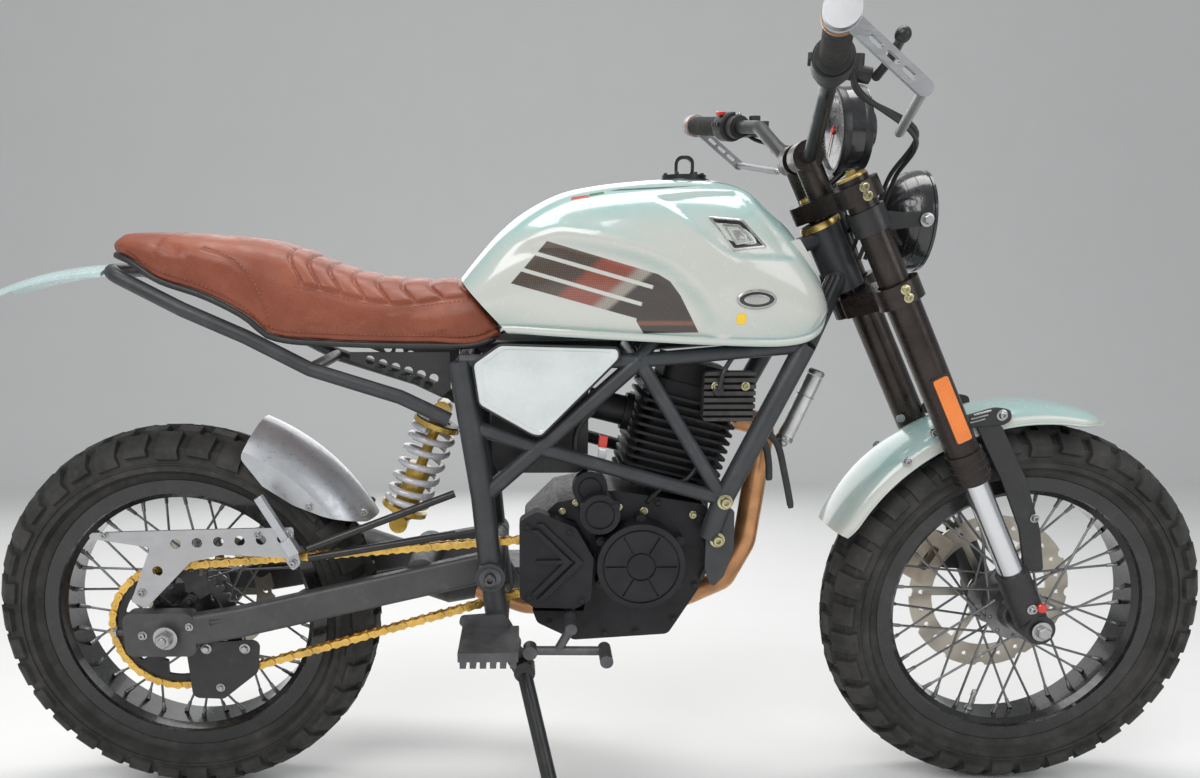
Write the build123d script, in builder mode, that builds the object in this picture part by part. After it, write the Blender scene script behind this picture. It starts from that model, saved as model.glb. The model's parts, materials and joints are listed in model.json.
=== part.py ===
from build123d import *
from math import asin, atan2, cos, pi, radians, sin, sqrt, tan
import os

os.makedirs("parts", exist_ok=True)

# Scrambler motorcycle, in millimetres, modelled upright and then leaned on its side stand.
# While it is modelled, X is forward from the rear axle, Y is towards the brake side and Z is
# up from the floor, so the chain, the gear lever and the side stand are at negative Y.

# Overall dimensions
WHEELBASE = 1380
TYRE_R = 316
RAKE = 26.6
FORK_OFFSET = 41
LEAN = 8
STEER_LOCK = 32

# Wheels
REAR_TYRE_W = 132
FRONT_TYRE_W = 118
SHOULDER_DROP = 24
SIDEWALL_R = 262
RIM_EDGE_R = 232
RIM_SEAT_R = 214
RIM_WELL_R = 200
RIM_LIP = 4
REAR_RIM_W = 86
FRONT_RIM_W = 78
SEAT_GAP = 0.3
SPOKES = 36
SPOKE_R = 2
SPOKE_LEAD = 58
SPOKE_RIM_Y = 7
AXLE_R = 8.5
REAR_HUB_R = 58
FRONT_HUB_R = 48
REAR_HUB_HALF = 36
FRONT_HUB_HALF = 32
FLANGE_T = 5
DISC_T = 4
FRONT_DISC_R = 140
REAR_DISC_R = 115
FRONT_DISC_Y = 58
REAR_DISC_Y = 72

# Chain drive
PITCH = 15.875
REAR_TEETH = 40
FRONT_TEETH = 15
CHAIN_Y = -85
CHAIN_W = 14
CHAIN_H = 14
DRIVE_X = 600
DRIVE_Z = 425

# Frame
FRAME_Y = 112
UPRIGHT_R = 18
DOWN_R = 16
RAIL_R = 12.5
BRACE_R = 11
HEAD_R = 28
HEAD_LOW_Z = 845
HEAD_HIGH_Z = 948
PIVOT_X = 508
PIVOT_Z = 414

# Swingarm
ARM_OUT_Y = 124
ARM_W = 26
ARM_PIVOT_Y = 90
ARM_H = 50
SPACER_R = 13

# Fork and controls
FORK_Y = 93
OUTER_R = 25
OUTER_TOP_R = 22
STANCHION_R = 19
BAR_R = 11.1
# The bar's middle from the upper yoke, its bend and its tip from that middle
BAR_MID = (-26, 73)
BAR_RISE = (-20, 190, 68)
BAR_TIP = (-85, 443, 101)
RISER_Y = 30
RISER_HALF = 18
GRIP_L = 122

# Directions and points worked out from those
rake = radians(RAKE)
fork_up = Vector(-sin(rake), 0, cos(rake))
fork_ahead = Vector(cos(rake), 0, sin(rake))
front_axle = Vector(WHEELBASE, 0, TYRE_R)
rear_axle = Vector(0, 0, TYRE_R)


def on_fork(z, y=0.0):
    """The point of a fork leg's axis at height z."""
    return front_axle + fork_up * ((z - TYRE_R) / cos(rake)) + Vector(0, y, 0)


def on_head(z):
    """The point of the steering axis at height z."""
    return on_fork(z) - Vector(FORK_OFFSET / cos(rake), 0, 0)


def bar(start, end, radius, end_radius=None, mode=Mode.ADD):
    """A round bar or a taper from start to end."""
    start, end = Vector(*start), Vector(*end)
    way = end - start
    with BuildSketch(Plane(origin=start, z_dir=way)) as near:
        Circle(radius)
    if end_radius is None:
        return extrude(near.sketch, amount=way.length, mode=mode)
    with BuildSketch(Plane(origin=end, z_dir=way)) as far:
        Circle(end_radius)
    return loft([near.sketch, far.sketch], mode=mode)


def pipe(points, radius, bends):
    """A round tube along straight runs joined by arcs."""
    with BuildLine() as path:
        FilletPolyline(*points, radius=bends)
    with BuildSketch(Plane(origin=path.line @ 0, z_dir=path.line % 0)) as section:
        Circle(radius)
    sweep(section.sketch, path=path.line)


def wheel_plane(x):
    """The plane across a wheel whose local x runs along the axle and local y outwards."""
    return Plane(origin=(x, 0, TYRE_R), x_dir=(0, 1, 0), z_dir=(1, 0, 0))


def axle_line(x):
    return Axis((x, 0, TYRE_R), (0, 1, 0))


def side(x, z, y, turned=0.0):
    """A plane across the machine at y, facing the chain side, local x forward and turned up."""
    return Plane(origin=(x, y, z), x_dir=(cos(radians(turned)), 0, sin(radians(turned))), z_dir=(0, -1, 0))


def tyre(x, width, rim_width):
    """A tyre closed on its rim, out to the tips of its tread blocks."""
    seat = rim_width / 2 - RIM_LIP - SEAT_GAP
    half = width / 2
    bead = RIM_EDGE_R + SEAT_GAP
    with BuildPart() as ring:
        with BuildSketch(wheel_plane(x)) as section:
            with BuildLine():
                Polyline((-seat, RIM_SEAT_R + SEAT_GAP), (seat, RIM_SEAT_R + SEAT_GAP))
                Polyline((seat, RIM_SEAT_R + SEAT_GAP), (seat, bead), (seat + 6, bead))
                ThreePointArc(
                    (seat + 6, bead),
                    (half - 4, SIDEWALL_R - 8),
                    (half, TYRE_R - SHOULDER_DROP - 6),
                )
                Line((half, TYRE_R - SHOULDER_DROP - 6), (half - 6, TYRE_R - SHOULDER_DROP))
                ThreePointArc(
                    (half - 6, TYRE_R - SHOULDER_DROP),
                    (0, TYRE_R),
                    (6 - half, TYRE_R - SHOULDER_DROP),
                )
                Line((6 - half, TYRE_R - SHOULDER_DROP), (-half, TYRE_R - SHOULDER_DROP - 6))
                ThreePointArc(
                    (-half, TYRE_R - SHOULDER_DROP - 6),
                    (4 - half, SIDEWALL_R - 8),
                    (-seat - 6, bead),
                )
                Polyline((-seat - 6, bead), (-seat, bead), (-seat, RIM_SEAT_R + SEAT_GAP))
            make_face()
        revolve(section.sketch, axis=axle_line(x))
    return ring


def rim(x, rim_width):
    """A drop-centre rim with a lip at each edge."""
    half = rim_width / 2
    with BuildPart() as ring:
        with BuildSketch(wheel_plane(x)) as section:
            with BuildLine():
                Polyline(
                    (-half, RIM_EDGE_R),
                    (-half, RIM_SEAT_R - 4),
                    (6 - half, RIM_SEAT_R - 6),
                    (14 - half, RIM_WELL_R),
                    (half - 14, RIM_WELL_R),
                    (half - 6, RIM_SEAT_R - 6),
                    (half, RIM_SEAT_R - 4),
                    (half, RIM_EDGE_R),
                    (half - RIM_LIP, RIM_EDGE_R),
                    (half - RIM_LIP, RIM_SEAT_R),
                    (RIM_LIP - half, RIM_SEAT_R),
                    (RIM_LIP - half, RIM_EDGE_R),
                    (-half, RIM_EDGE_R),
                )
            make_face()
        revolve(section.sketch, axis=axle_line(x))
    return ring


def hub(x, flange_r, half, left, right):
    """A hub shell with two flanges and its crossed wire spokes, from y = left to right."""
    with BuildPart() as shell:
        with BuildSketch(wheel_plane(x)) as section:
            with BuildLine():
                Polyline(
                    (left, AXLE_R + 0.05),
                    (left, 27),
                    (-half - FLANGE_T, 30),
                    (-half - FLANGE_T, flange_r),
                    (-half, flange_r),
                    (-half + 6, flange_r - 20),
                    (half - 6, flange_r - 20),
                    (half, flange_r),
                    (half + FLANGE_T, flange_r),
                    (half + FLANGE_T, 30),
                    (right, 27),
                    (right, AXLE_R + 0.05),
                    (left, AXLE_R + 0.05),
                )
            make_face()
        revolve(section.sketch, axis=axle_line(x))
        spokes = []
        for spoke in range(SPOKES):
            flank = 1 if spoke % 2 else -1
            lead = SPOKE_LEAD if spoke % 4 < 2 else -SPOKE_LEAD
            outside = FLANGE_T if spoke % 4 < 2 else 0
            turn = radians(360 * spoke / SPOKES)
            hub_turn = turn + radians(lead)
            root_r, tip_r = flange_r - 6, RIM_WELL_R - 0.9
            root_y, tip_y = flank * (half + outside), flank * SPOKE_RIM_Y
            root = (x + root_r * sin(hub_turn), root_y, TYRE_R + root_r * cos(hub_turn))
            tip = (x + tip_r * sin(turn), tip_y, TYRE_R + tip_r * cos(turn))
            spokes.append(bar(root, tip, SPOKE_R, mode=Mode.PRIVATE))
        add(spokes)
    return shell


# Wheels

rear_tyre = tyre(0, REAR_TYRE_W, REAR_RIM_W)
rear_tyre.part.label = "rear_tyre"

front_tyre = tyre(WHEELBASE, FRONT_TYRE_W, FRONT_RIM_W)
front_tyre.part.label = "front_tyre"

rear_rim = rim(0, REAR_RIM_W)
rear_rim.part.label = "rear_rim"

front_rim = rim(WHEELBASE, FRONT_RIM_W)
front_rim.part.label = "front_rim"

sprocket_back = CHAIN_Y + 3
rear_hub = hub(0, REAR_HUB_R, REAR_HUB_HALF, sprocket_back, REAR_DISC_Y)
rear_hub.part.label = "rear_hub"

front_hub = hub(WHEELBASE, FRONT_HUB_R, FRONT_HUB_HALF, -FRONT_DISC_Y, FRONT_DISC_Y)
front_hub.part.label = "front_hub"


def brake_disc(x, y, outer, arms, waves):
    """A wavy brake disc on a spider, its inner face at y."""
    band = outer * 0.28
    with BuildPart() as disc:
        with BuildSketch(side(x, TYRE_R, y)) as section:
            Circle(outer)
            with PolarLocations(outer + 4, waves):
                Circle(10, mode=Mode.SUBTRACT)
            Circle(outer - band, mode=Mode.SUBTRACT)
            Circle(38)
            Circle(AXLE_R + 6, mode=Mode.SUBTRACT)
            with PolarLocations((outer - band + 34) / 2, arms):
                Rectangle(outer - band - 28, 12)
        extrude(section.sketch, amount=-DISC_T)
        with BuildSketch(side(x, TYRE_R, y)) as drillings:
            with PolarLocations(outer - band / 2, waves * 2):
                Circle(4)
        extrude(drillings.sketch, amount=-DISC_T, mode=Mode.SUBTRACT)
    return disc


front_disc = brake_disc(WHEELBASE, FRONT_DISC_Y + SEAT_GAP, FRONT_DISC_R, 6, 12)
front_disc.part.label = "front_disc"

rear_disc = brake_disc(0, REAR_DISC_Y + SEAT_GAP, REAR_DISC_R, 5, 10)
rear_disc.part.label = "rear_disc"

pitch_r = PITCH / (2 * sin(pi / REAR_TEETH))
drive_pitch_r = PITCH / (2 * sin(pi / FRONT_TEETH))

WINDOWS = 6
with BuildPart() as rear_sprocket:
    with BuildSketch(side(0, TYRE_R, CHAIN_Y + 3)) as section:
        Circle(pitch_r - CHAIN_H / 2 - SEAT_GAP)
        Circle(AXLE_R + 6, mode=Mode.SUBTRACT)
        with PolarLocations(pitch_r - 34, WINDOWS):
            Trapezoid(40, 34, 118, rotation=90, mode=Mode.SUBTRACT)
    extrude(section.sketch, amount=6)
    with BuildSketch(side(0, TYRE_R, CHAIN_Y - 3)) as heads:
        with PolarLocations(REAR_HUB_R - 12, WINDOWS, start_angle=30):
            RegularPolygon(6, 6)
    extrude(heads.sketch, amount=5)
rear_sprocket.part.label = "rear_sprocket"


def pin_walk():
    """Points of the chain's pitch line, one for each pin, and the way outwards at each."""
    span = sqrt(DRIVE_X**2 + (DRIVE_Z - TYRE_R) ** 2)
    way = Vector(DRIVE_X, DRIVE_Z - TYRE_R) / span
    lean_in = asin((pitch_r - drive_pitch_r) / span)
    run = span * cos(lean_in)
    start = atan2(way.Y, way.X) + pi / 2 - lean_in
    small_turn = pi - 2 * lean_in
    small_arc = drive_pitch_r * small_turn
    big_arc = pitch_r * (2 * pi - small_turn)
    total = 2 * run + small_arc + big_arc
    pins = 2 * round(total / PITCH / 2)
    wheel = Vector(0, TYRE_R)
    drive = Vector(DRIVE_X, DRIVE_Z)
    walk = []
    for pin in range(2 * pins):
        at = total * pin / (2 * pins)
        up = Vector(cos(start), sin(start))
        low = Vector(cos(start - small_turn), sin(start - small_turn))
        if at < run:
            walk.append((wheel + up * pitch_r + (drive + up * drive_pitch_r - wheel - up * pitch_r) * (at / run), up))
        elif at < run + small_arc:
            turn = start - (at - run) / drive_pitch_r
            out = Vector(cos(turn), sin(turn))
            walk.append((drive + out * drive_pitch_r, out))
        elif at < 2 * run + small_arc:
            gone = (at - run - small_arc) / run
            begin = drive + low * drive_pitch_r
            walk.append((begin + (wheel + low * pitch_r - begin) * gone, low))
        else:
            turn = start - small_turn - (at - 2 * run - small_arc) / pitch_r
            out = Vector(cos(turn), sin(turn))
            walk.append((wheel + out * pitch_r, out))
    return walk


# The inner plates as one waisted band, and an outer plate on every second link
PLATE_WAIST = 4.6
OUTER_PLATE = 2
chain_walk = pin_walk()
with BuildPart() as chain:
    with BuildSketch(side(0, 0, CHAIN_Y + CHAIN_W / 2 - OUTER_PLATE)) as section:
        for flank in (1, -1):
            edge = []
            for step, (at, out) in enumerate(chain_walk):
                half = CHAIN_H / 2 if step % 2 == 0 else PLATE_WAIST
                edge.append(at + out * flank * half)
            with BuildLine():
                Polyline(*edge, close=True)
            make_face(mode=Mode.ADD if flank > 0 else Mode.SUBTRACT)
    extrude(section.sketch, amount=CHAIN_W - 2 * OUTER_PLATE)
    plates = []
    for y in (CHAIN_Y + CHAIN_W / 2, CHAIN_Y - CHAIN_W / 2 + OUTER_PLATE):
        with BuildSketch(side(0, 0, y)) as links:
            for first in range(0, len(chain_walk), 4):
                (a, out_a), (b, out_b) = chain_walk[first], chain_walk[(first + 2) % len(chain_walk)]
                (m, out_m) = chain_walk[first + 1]
                along = (b - a).normalized() * CHAIN_H * 0.36
                ends = [
                    a + out_a * CHAIN_H * 0.34 - along, a + out_a * CHAIN_H * 0.47, m + out_m * PLATE_WAIST,
                    b + out_b * CHAIN_H * 0.47, b + out_b * CHAIN_H * 0.34 + along, b - out_b * CHAIN_H * 0.34 + along,
                    b - out_b * CHAIN_H * 0.47, m - out_m * PLATE_WAIST, a - out_a * CHAIN_H * 0.47,
                    a - out_a * CHAIN_H * 0.34 - along,
                ]
                with BuildLine():
                    Polyline(*ends, close=True)
                make_face()
        plates.append(extrude(links.sketch, amount=OUTER_PLATE, mode=Mode.PRIVATE))
    add(plates)
chain.part.label = "chain"

# Frame

# Joints of each side of the trellis, x and z on the side's own plane
JOINTS = {
    "seat": (466, 744),
    "upright": (497, 536),
    "pivot": (PIVOT_X, PIVOT_Z),
    "foot": (521, 305),
    "brace": (478, 648),
    "cross": (585, 612),
    "peak": (732, 745),
    "lug": (866, 532),
    "nose": (982, 765),
    "mount": (846, 470),
}
# Tubes of each side: from, to, radius
TUBES = (
    ("seat", "upright", UPRIGHT_R),
    ("upright", "pivot", UPRIGHT_R),
    ("pivot", "foot", UPRIGHT_R),
    ("upright", "peak", RAIL_R),
    ("brace", "cross", BRACE_R),
    ("cross", "lug", BRACE_R),
    ("peak", "lug", BRACE_R),
    ("peak", "nose", BRACE_R),
    ("nose", "lug", DOWN_R),
    ("lug", "mount", DOWN_R),
    ("seat", "peak", BRACE_R),
)
NOSE_Y = 96
PIVOT_BOSS_R = 23
STAND_PIVOT = (560, 256)
STAND_LUG_T = 8
# The plate that carries the engine's front, x and z of its corners
MOUNT_T = 7
MOUNT_OUTLINE = ((842, 500), (884, 520), (886, 452), (872, 408), (854, 388), (842, 420))


def joint(name, flank):
    """A trellis joint on one flank, where the nose is narrower than the rest."""
    x, z = JOINTS[name]
    return Vector(x, flank * (NOSE_Y if name == "nose" else FRAME_Y), z)


with BuildPart() as frame:
    tubes = []
    knots = []
    for flank in (-1, 1):
        for start, end, radius in TUBES:
            tubes.append(bar(joint(start, flank), joint(end, flank), radius, mode=Mode.PRIVATE))
        for name, radius in (("upright", UPRIGHT_R), ("lug", DOWN_R + 1)):
            knots.append((joint(name, flank), radius))
        boss_in = Vector(PIVOT_X, flank * (ARM_PIVOT_Y + SEAT_GAP), PIVOT_Z)
        boss_out = Vector(PIVOT_X, flank * (FRAME_Y + UPRIGHT_R + 8), PIVOT_Z)
        tubes.append(bar(boss_in, boss_out, PIVOT_BOSS_R, mode=Mode.PRIVATE))
        nose = joint("nose", flank)
        head = on_head(HEAD_LOW_Z + 18) + Vector(-12, flank * 14, 0)
        tubes.append(bar(nose, head, DOWN_R, mode=Mode.PRIVATE))
        top = on_head(HEAD_HIGH_Z - 26) + Vector(-10, flank * 12, 0)
        tubes.append(bar(joint("peak", flank), (800, flank * 62, 838), BRACE_R, mode=Mode.PRIVATE))
        tubes.append(bar((800, flank * 62, 838), top, BRACE_R, mode=Mode.PRIVATE))
    for x, z, radius in ((467, 738, BRACE_R), (521, 312, RAIL_R), (732, 745, BRACE_R)):
        tubes.append(bar((x, -FRAME_Y, z), (x, FRAME_Y, z), radius, mode=Mode.PRIVATE))
    add(tubes)
    for centre, radius in knots:
        with Locations(centre):
            Sphere(radius)
    with BuildSketch(Plane(origin=on_head(HEAD_LOW_Z), z_dir=fork_up)) as head:
        Circle(HEAD_R)
    extrude(head.sketch, amount=(HEAD_HIGH_Z - HEAD_LOW_Z) / cos(rake))
    with BuildSketch(Plane(origin=on_head(HEAD_LOW_Z), z_dir=fork_up)) as bore:
        Circle(HEAD_R - 10)
    extrude(bore.sketch, amount=(HEAD_HIGH_Z - HEAD_LOW_Z) / cos(rake), mode=Mode.SUBTRACT)
    with BuildSketch(side(PIVOT_X, PIVOT_Z, 200)) as pin_hole:
        Circle(AXLE_R)
    extrude(pin_hole.sketch, amount=400, mode=Mode.SUBTRACT)
    with BuildSketch(side(0, 0, -FRAME_Y + STAND_LUG_T / 2)) as lug:
        with BuildLine():
            Polyline((506, 312), (536, 312), (576, 262), (566, 240), (546, 240), (506, 312))
        make_face()
    extrude(lug.sketch, amount=STAND_LUG_T)
    for flank in (-1, 1):
        with BuildSketch(side(0, 0, flank * FRAME_Y + MOUNT_T / 2)) as mount_plate:
            with BuildLine():
                FilletPolyline(*MOUNT_OUTLINE, radius=6, close=True)
            make_face()
        extrude(mount_plate.sketch, amount=MOUNT_T)

# The welded frame as three pieces that meet on flat faces: each side, and what is between them
SPLIT_Y = 84
with BuildPart() as frame_left:
    add(frame.part)
    split(bisect_by=Plane.XZ.offset(SPLIT_Y), keep=Keep.TOP)
frame_left.part.label = "frame_left"

with BuildPart() as frame_right:
    add(frame.part)
    split(bisect_by=Plane.XZ.offset(-SPLIT_Y), keep=Keep.BOTTOM)
frame_right.part.label = "frame_right"

with BuildPart() as frame_centre:
    add(frame.part)
    split(bisect_by=Plane.XZ.offset(SPLIT_Y), keep=Keep.BOTTOM)
    split(bisect_by=Plane.XZ.offset(-SPLIT_Y), keep=Keep.TOP)
frame_centre.part.label = "frame_centre"

# Seat rails, a loop behind the seat
RAIL_TAIL_X = -58
RAIL_Y = 104
with BuildPart() as subframe:
    half_loop = ((448, 655), (375, 690), (242, 732), (150, 780), (60, 820))
    left = [(x, -RAIL_Y, z) for x, z in half_loop]
    right = [(x, RAIL_Y, z) for x, z in reversed(half_loop)]
    pipe((*left, (RAIL_TAIL_X, -72, 874), (RAIL_TAIL_X, 72, 874), *right), BRACE_R, 30)
    bar((242, -RAIL_Y, 732), (242, RAIL_Y, 732), 9)
subframe.part.label = "subframe"

# Swingarm: two box arms that splay to the axle, a pivot tube and a bridge
with BuildPart() as swingarm:
    arms = []
    for flank in (-1, 1):
        rear_mid = flank * (ARM_OUT_Y - ARM_W / 2)
        front_mid = flank * (ARM_PIVOT_Y - ARM_W / 2)
        stations = ((-20, rear_mid, 312), (110, rear_mid, 334), (PIVOT_X - 20, front_mid, PIVOT_Z - 4))
        for start, end in zip(stations, stations[1:]):
            faces = []
            for x, y, z in (start, end):
                with BuildSketch(Plane(origin=(x, y, z), x_dir=(0, 1, 0), z_dir=(1, 0, 0))) as face:
                    RectangleRounded(ARM_W, ARM_H, 7)
                faces.append(face.sketch)
            arms.append(loft(faces, mode=Mode.PRIVATE))
        with BuildSketch(side(-14, TYRE_R, flank * ARM_OUT_Y)) as plate:
            RectangleRounded(112, 72, 14)
        arms.append(extrude(plate.sketch, amount=flank * ARM_W, mode=Mode.PRIVATE))
    arms.append(bar((PIVOT_X, -ARM_PIVOT_Y, PIVOT_Z), (PIVOT_X, ARM_PIVOT_Y, PIVOT_Z), 22, mode=Mode.PRIVATE))
    arms.append(bar((395, -80, 400), (395, 80, 400), 26, mode=Mode.PRIVATE))
    add(arms)
    with BuildSketch(side(PIVOT_X, PIVOT_Z, 200)) as pin_hole:
        Circle(AXLE_R)
    extrude(pin_hole.sketch, amount=400, mode=Mode.SUBTRACT)
    bar((0, -ARM_OUT_Y - 12, TYRE_R), (0, ARM_OUT_Y + 12, TYRE_R), AXLE_R)
    for flank, seat in ((-1, CHAIN_Y + 3), (1, REAR_DISC_Y)):
        bar((0, seat + flank * SEAT_GAP, TYRE_R), (0, flank * (ARM_OUT_Y - 6), TYRE_R), SPACER_R)
        bar((0, flank * ARM_OUT_Y, TYRE_R), (0, flank * (ARM_OUT_Y + 12), TYRE_R), 14)
        adjuster_y = flank * (ARM_OUT_Y - ARM_W / 2)
        bar((-68, adjuster_y, TYRE_R), (-86, adjuster_y, TYRE_R), 5)
swingarm.part.label = "swingarm"

# Rear shock, standing on the swingarm bridge
SHOCK_LOW = Vector(352, 0, 466)
SHOCK_HIGH = Vector(428, 0, 655)
COIL_R = 33
WIRE_R = 5.5
COILS = 6
shock_way = (SHOCK_HIGH - SHOCK_LOW).normalized()
shock_length = (SHOCK_HIGH - SHOCK_LOW).length

with BuildPart() as shock_body:
    with BuildSketch(Plane(origin=SHOCK_LOW, x_dir=(0, 1, 0), z_dir=Vector(0, 1, 0).cross(shock_way))) as column:
        with BuildLine():
            Polyline(
                (0, 8), (14, 8), (20, 14), (20, 22), (COIL_R + WIRE_R, 22), (COIL_R + WIRE_R, 30),
                (20, 30), (20, 104), (9, 104), (9, shock_length - 30),
                (COIL_R + WIRE_R, shock_length - 30), (COIL_R + WIRE_R, shock_length - 22),
                (14, shock_length - 22), (14, shock_length - 8), (0, shock_length - 8), (0, 8),
            )
        make_face()
    revolve(column.sketch, axis=Axis(SHOCK_LOW, shock_way))
    for end in (SHOCK_LOW, SHOCK_HIGH):
        bar(end - Vector(0, 20, 0), end + Vector(0, 20, 0), 15)
shock_body.part.label = "shock_body"

with BuildPart() as shock_spring:
    coil_foot = SHOCK_LOW + shock_way * (30 + WIRE_R + SEAT_GAP)
    coil_height = shock_length - 60 - 2 * (WIRE_R + SEAT_GAP)
    with BuildLine() as coil:
        Helix(coil_height / COILS, coil_height, COIL_R, center=coil_foot, direction=shock_way)
    with BuildSketch(Plane(origin=coil.line @ 0, z_dir=coil.line % 0)) as wire:
        Circle(WIRE_R)
    sweep(wire.sketch, path=coil.line, is_frenet=True)
shock_spring.part.label = "shock_spring"

# Engine
CASE_HALF = 86
DRIVE_RECESS = 12
CYL_BASE = Vector(778, 0, 512)
CYL_TILT = 14
CYL_HALF_X = 78
CYL_HALF_Y = 80
FINS = 12
FIN_PITCH = 13
FIN_T = 4
cyl_up = Vector(sin(radians(CYL_TILT)), 0, cos(radians(CYL_TILT)))
fin_way = Vector(cos(radians(CYL_TILT)), 0, -sin(radians(CYL_TILT)))
INTAKE_R = 24
INTAKE_RISE = 122

with BuildPart() as crankcase:
    with BuildSketch(side(0, 0, -CASE_HALF)) as outline:
        with BuildLine():
            FilletPolyline(
                (560, 380), (560, 470), (610, 520), (700, 540), (848, 516), (856, 440),
                (838, 376), (792, 300), (640, 290), (580, 320),
                radius=14, close=True,
            )
        make_face()
    extrude(outline.sketch, amount=-2 * CASE_HALF)
    with BuildSketch(side(0, 0, -CASE_HALF)) as recess:
        with BuildLine():
            Polyline((540, 340), (655, 340), (672, 440), (640, 492), (540, 510), (540, 340))
        make_face()
    extrude(recess.sketch, amount=-DRIVE_RECESS, mode=Mode.SUBTRACT)
crankcase.part.label = "crankcase"

with BuildPart() as cylinder:
    fins = []
    base = Plane(origin=CYL_BASE + cyl_up * 20, x_dir=fin_way, z_dir=cyl_up)
    with BuildSketch(base) as core:
        RectangleRounded(1.6 * CYL_HALF_X, 1.6 * CYL_HALF_Y, 20)
    extrude(core.sketch, amount=FINS * FIN_PITCH + 18)
    for fin in range(FINS):
        with BuildSketch(base.offset(6 + fin * FIN_PITCH)) as plate:
            RectangleRounded(2 * CYL_HALF_X, 2 * CYL_HALF_Y, 16)
        fins.append(extrude(plate.sketch, amount=FIN_T, mode=Mode.PRIVATE))
    with BuildSketch(base.offset(FINS * FIN_PITCH + 18)) as cap:
        RectangleRounded(1.3 * CYL_HALF_X, 1.5 * CYL_HALF_Y, 14)
    fins.append(extrude(cap.sketch, amount=34, mode=Mode.PRIVATE))
    add(fins)
cylinder.part.label = "cylinder"

# Covers on the chain side: x, z, radius, how far they stand out
ALTERNATOR = (741, 429, 68, 44)
PETALS = 6
GROOVE = 3
with BuildPart() as engine_covers:
    for x, z, radius, reach in (ALTERNATOR, (676, 513, 31, 46), (662, 548, 27, 22)):
        with BuildSketch(side(x, z, -CASE_HALF)) as lid:
            Circle(radius)
        extrude(lid.sketch, amount=reach)
        with BuildSketch(side(x, z, -CASE_HALF - reach + GROOVE)) as ring:
            Circle(radius - 8)
            Circle(radius - 8 - GROOVE, mode=Mode.SUBTRACT)
        extrude(ring.sketch, amount=GROOVE, mode=Mode.SUBTRACT)
    x, z, radius, reach = ALTERNATOR
    with BuildSketch(side(x, z, -CASE_HALF - reach + GROOVE)) as slits:
        with PolarLocations(radius * 0.56, PETALS):
            Rectangle(radius * 0.5, GROOVE)
        Circle(radius * 0.34)
        Circle(radius * 0.34 - GROOVE, mode=Mode.SUBTRACT)
    extrude(slits.sketch, amount=GROOVE, mode=Mode.SUBTRACT)
    with BuildSketch(side(x, z, -CASE_HALF)) as ears:
        with PolarLocations(radius + 2, PETALS, start_angle=30):
            Circle(8)
    extrude(ears.sketch, amount=reach - 18)
engine_covers.part.label = "engine_covers"

# Chevron ribs of the sprocket cover: how far back from its nose each lies, and half its height
CHEVRONS = ((0, 62), (18, 52))
with BuildPart() as sprocket_cover:
    cover_back = CHAIN_Y - CHAIN_W / 2 - 3
    cover_t = 28
    with BuildSketch(side(0, 0, cover_back)) as outline:
        with BuildLine():
            FilletPolyline(
                (553, 376), (553, 500), (580, 516), (640, 490), (668, 440), (664, 372), (640, 358), (575, 360),
                radius=10, close=True,
            )
        make_face()
    extrude(outline.sketch, amount=cover_t)
    ribs = []
    for back, half in CHEVRONS:
        with BuildSketch(side(652 - back, 436, cover_back - cover_t)) as rib:
            with BuildLine():
                Polyline((0, 0), (-half, half), (-half - 10, half), (-12, 0), (-half - 10, -half), (-half, -half), (0, 0))
            make_face()
        ribs.append(extrude(rib.sketch, amount=6, mode=Mode.PRIVATE))
    with BuildSketch(side(606, 436, cover_back - cover_t)) as spine:
        SlotOverall(56, 6)
    ribs.append(extrude(spine.sketch, amount=5, mode=Mode.PRIVATE))
    add(ribs)
sprocket_cover.part.label = "sprocket_cover"

with BuildPart() as clutch_cover:
    with BuildSketch(side(690, 420, CASE_HALF + 42)) as outline:
        Circle(92)
        with Locations((80, 10)):
            Circle(66)
    extrude(outline.sketch, amount=42)
clutch_cover.part.label = "clutch_cover"

# Exhaust, down in front of the engine and back along the brake side
PIPE_R = 19
MUFFLER_R = 44
with BuildPart() as header:
    pipe(
        (
            (902, 0, 640), (950, 0, 628), (928, 0, 430), (900, 24, 356), (842, 84, 301),
            (720, 128, 268), (560, 160, 258), (470, 176, 284),
        ),
        PIPE_R, (20, 60, 40, 50, 60, 60),
    )
header.part.label = "exhaust_header"

with BuildPart() as muffler:
    inlet = Vector(470, 176, 284)
    along = (inlet - Vector(560, 160, 258)).normalized()
    bar(inlet + along * SEAT_GAP, inlet + along * 44, 21, MUFFLER_R)
    bar(inlet + along * 44, inlet + along * 340, MUFFLER_R)
    bar(inlet + along * 340, inlet + along * 372, MUFFLER_R, 26)
muffler.part.label = "muffler"

with BuildPart() as regulator:
    with BuildSketch(side(870, 690, -CYL_HALF_Y - 4)) as block:
        RectangleRounded(78, 74, 5)
    extrude(block.sketch, amount=24)
    with BuildSketch(side(870, 690, -CYL_HALF_Y - 4 - 12)) as slots:
        with GridLocations(0, 10, 1, 7):
            Rectangle(80, 4)
    extrude(slots.sketch, amount=14, mode=Mode.SUBTRACT)
regulator.part.label = "regulator"

with BuildPart() as canister:
    bar((1018, -34, 712), (978, -34, 616), 13)
canister.part.label = "canister"

with BuildPart() as airbox:
    with BuildSketch(side(585, 640, -72)) as block:
        RectangleRounded(150, 150, 22)
    extrude(block.sketch, amount=-144)
    port = CYL_BASE + cyl_up * INTAKE_RISE - fin_way * (CYL_HALF_X + SEAT_GAP)
    bar(port, port - fin_way * 70, INTAKE_R)
    bar(port, port - fin_way * 12, INTAKE_R + 6)
airbox.part.label = "airbox"

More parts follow.
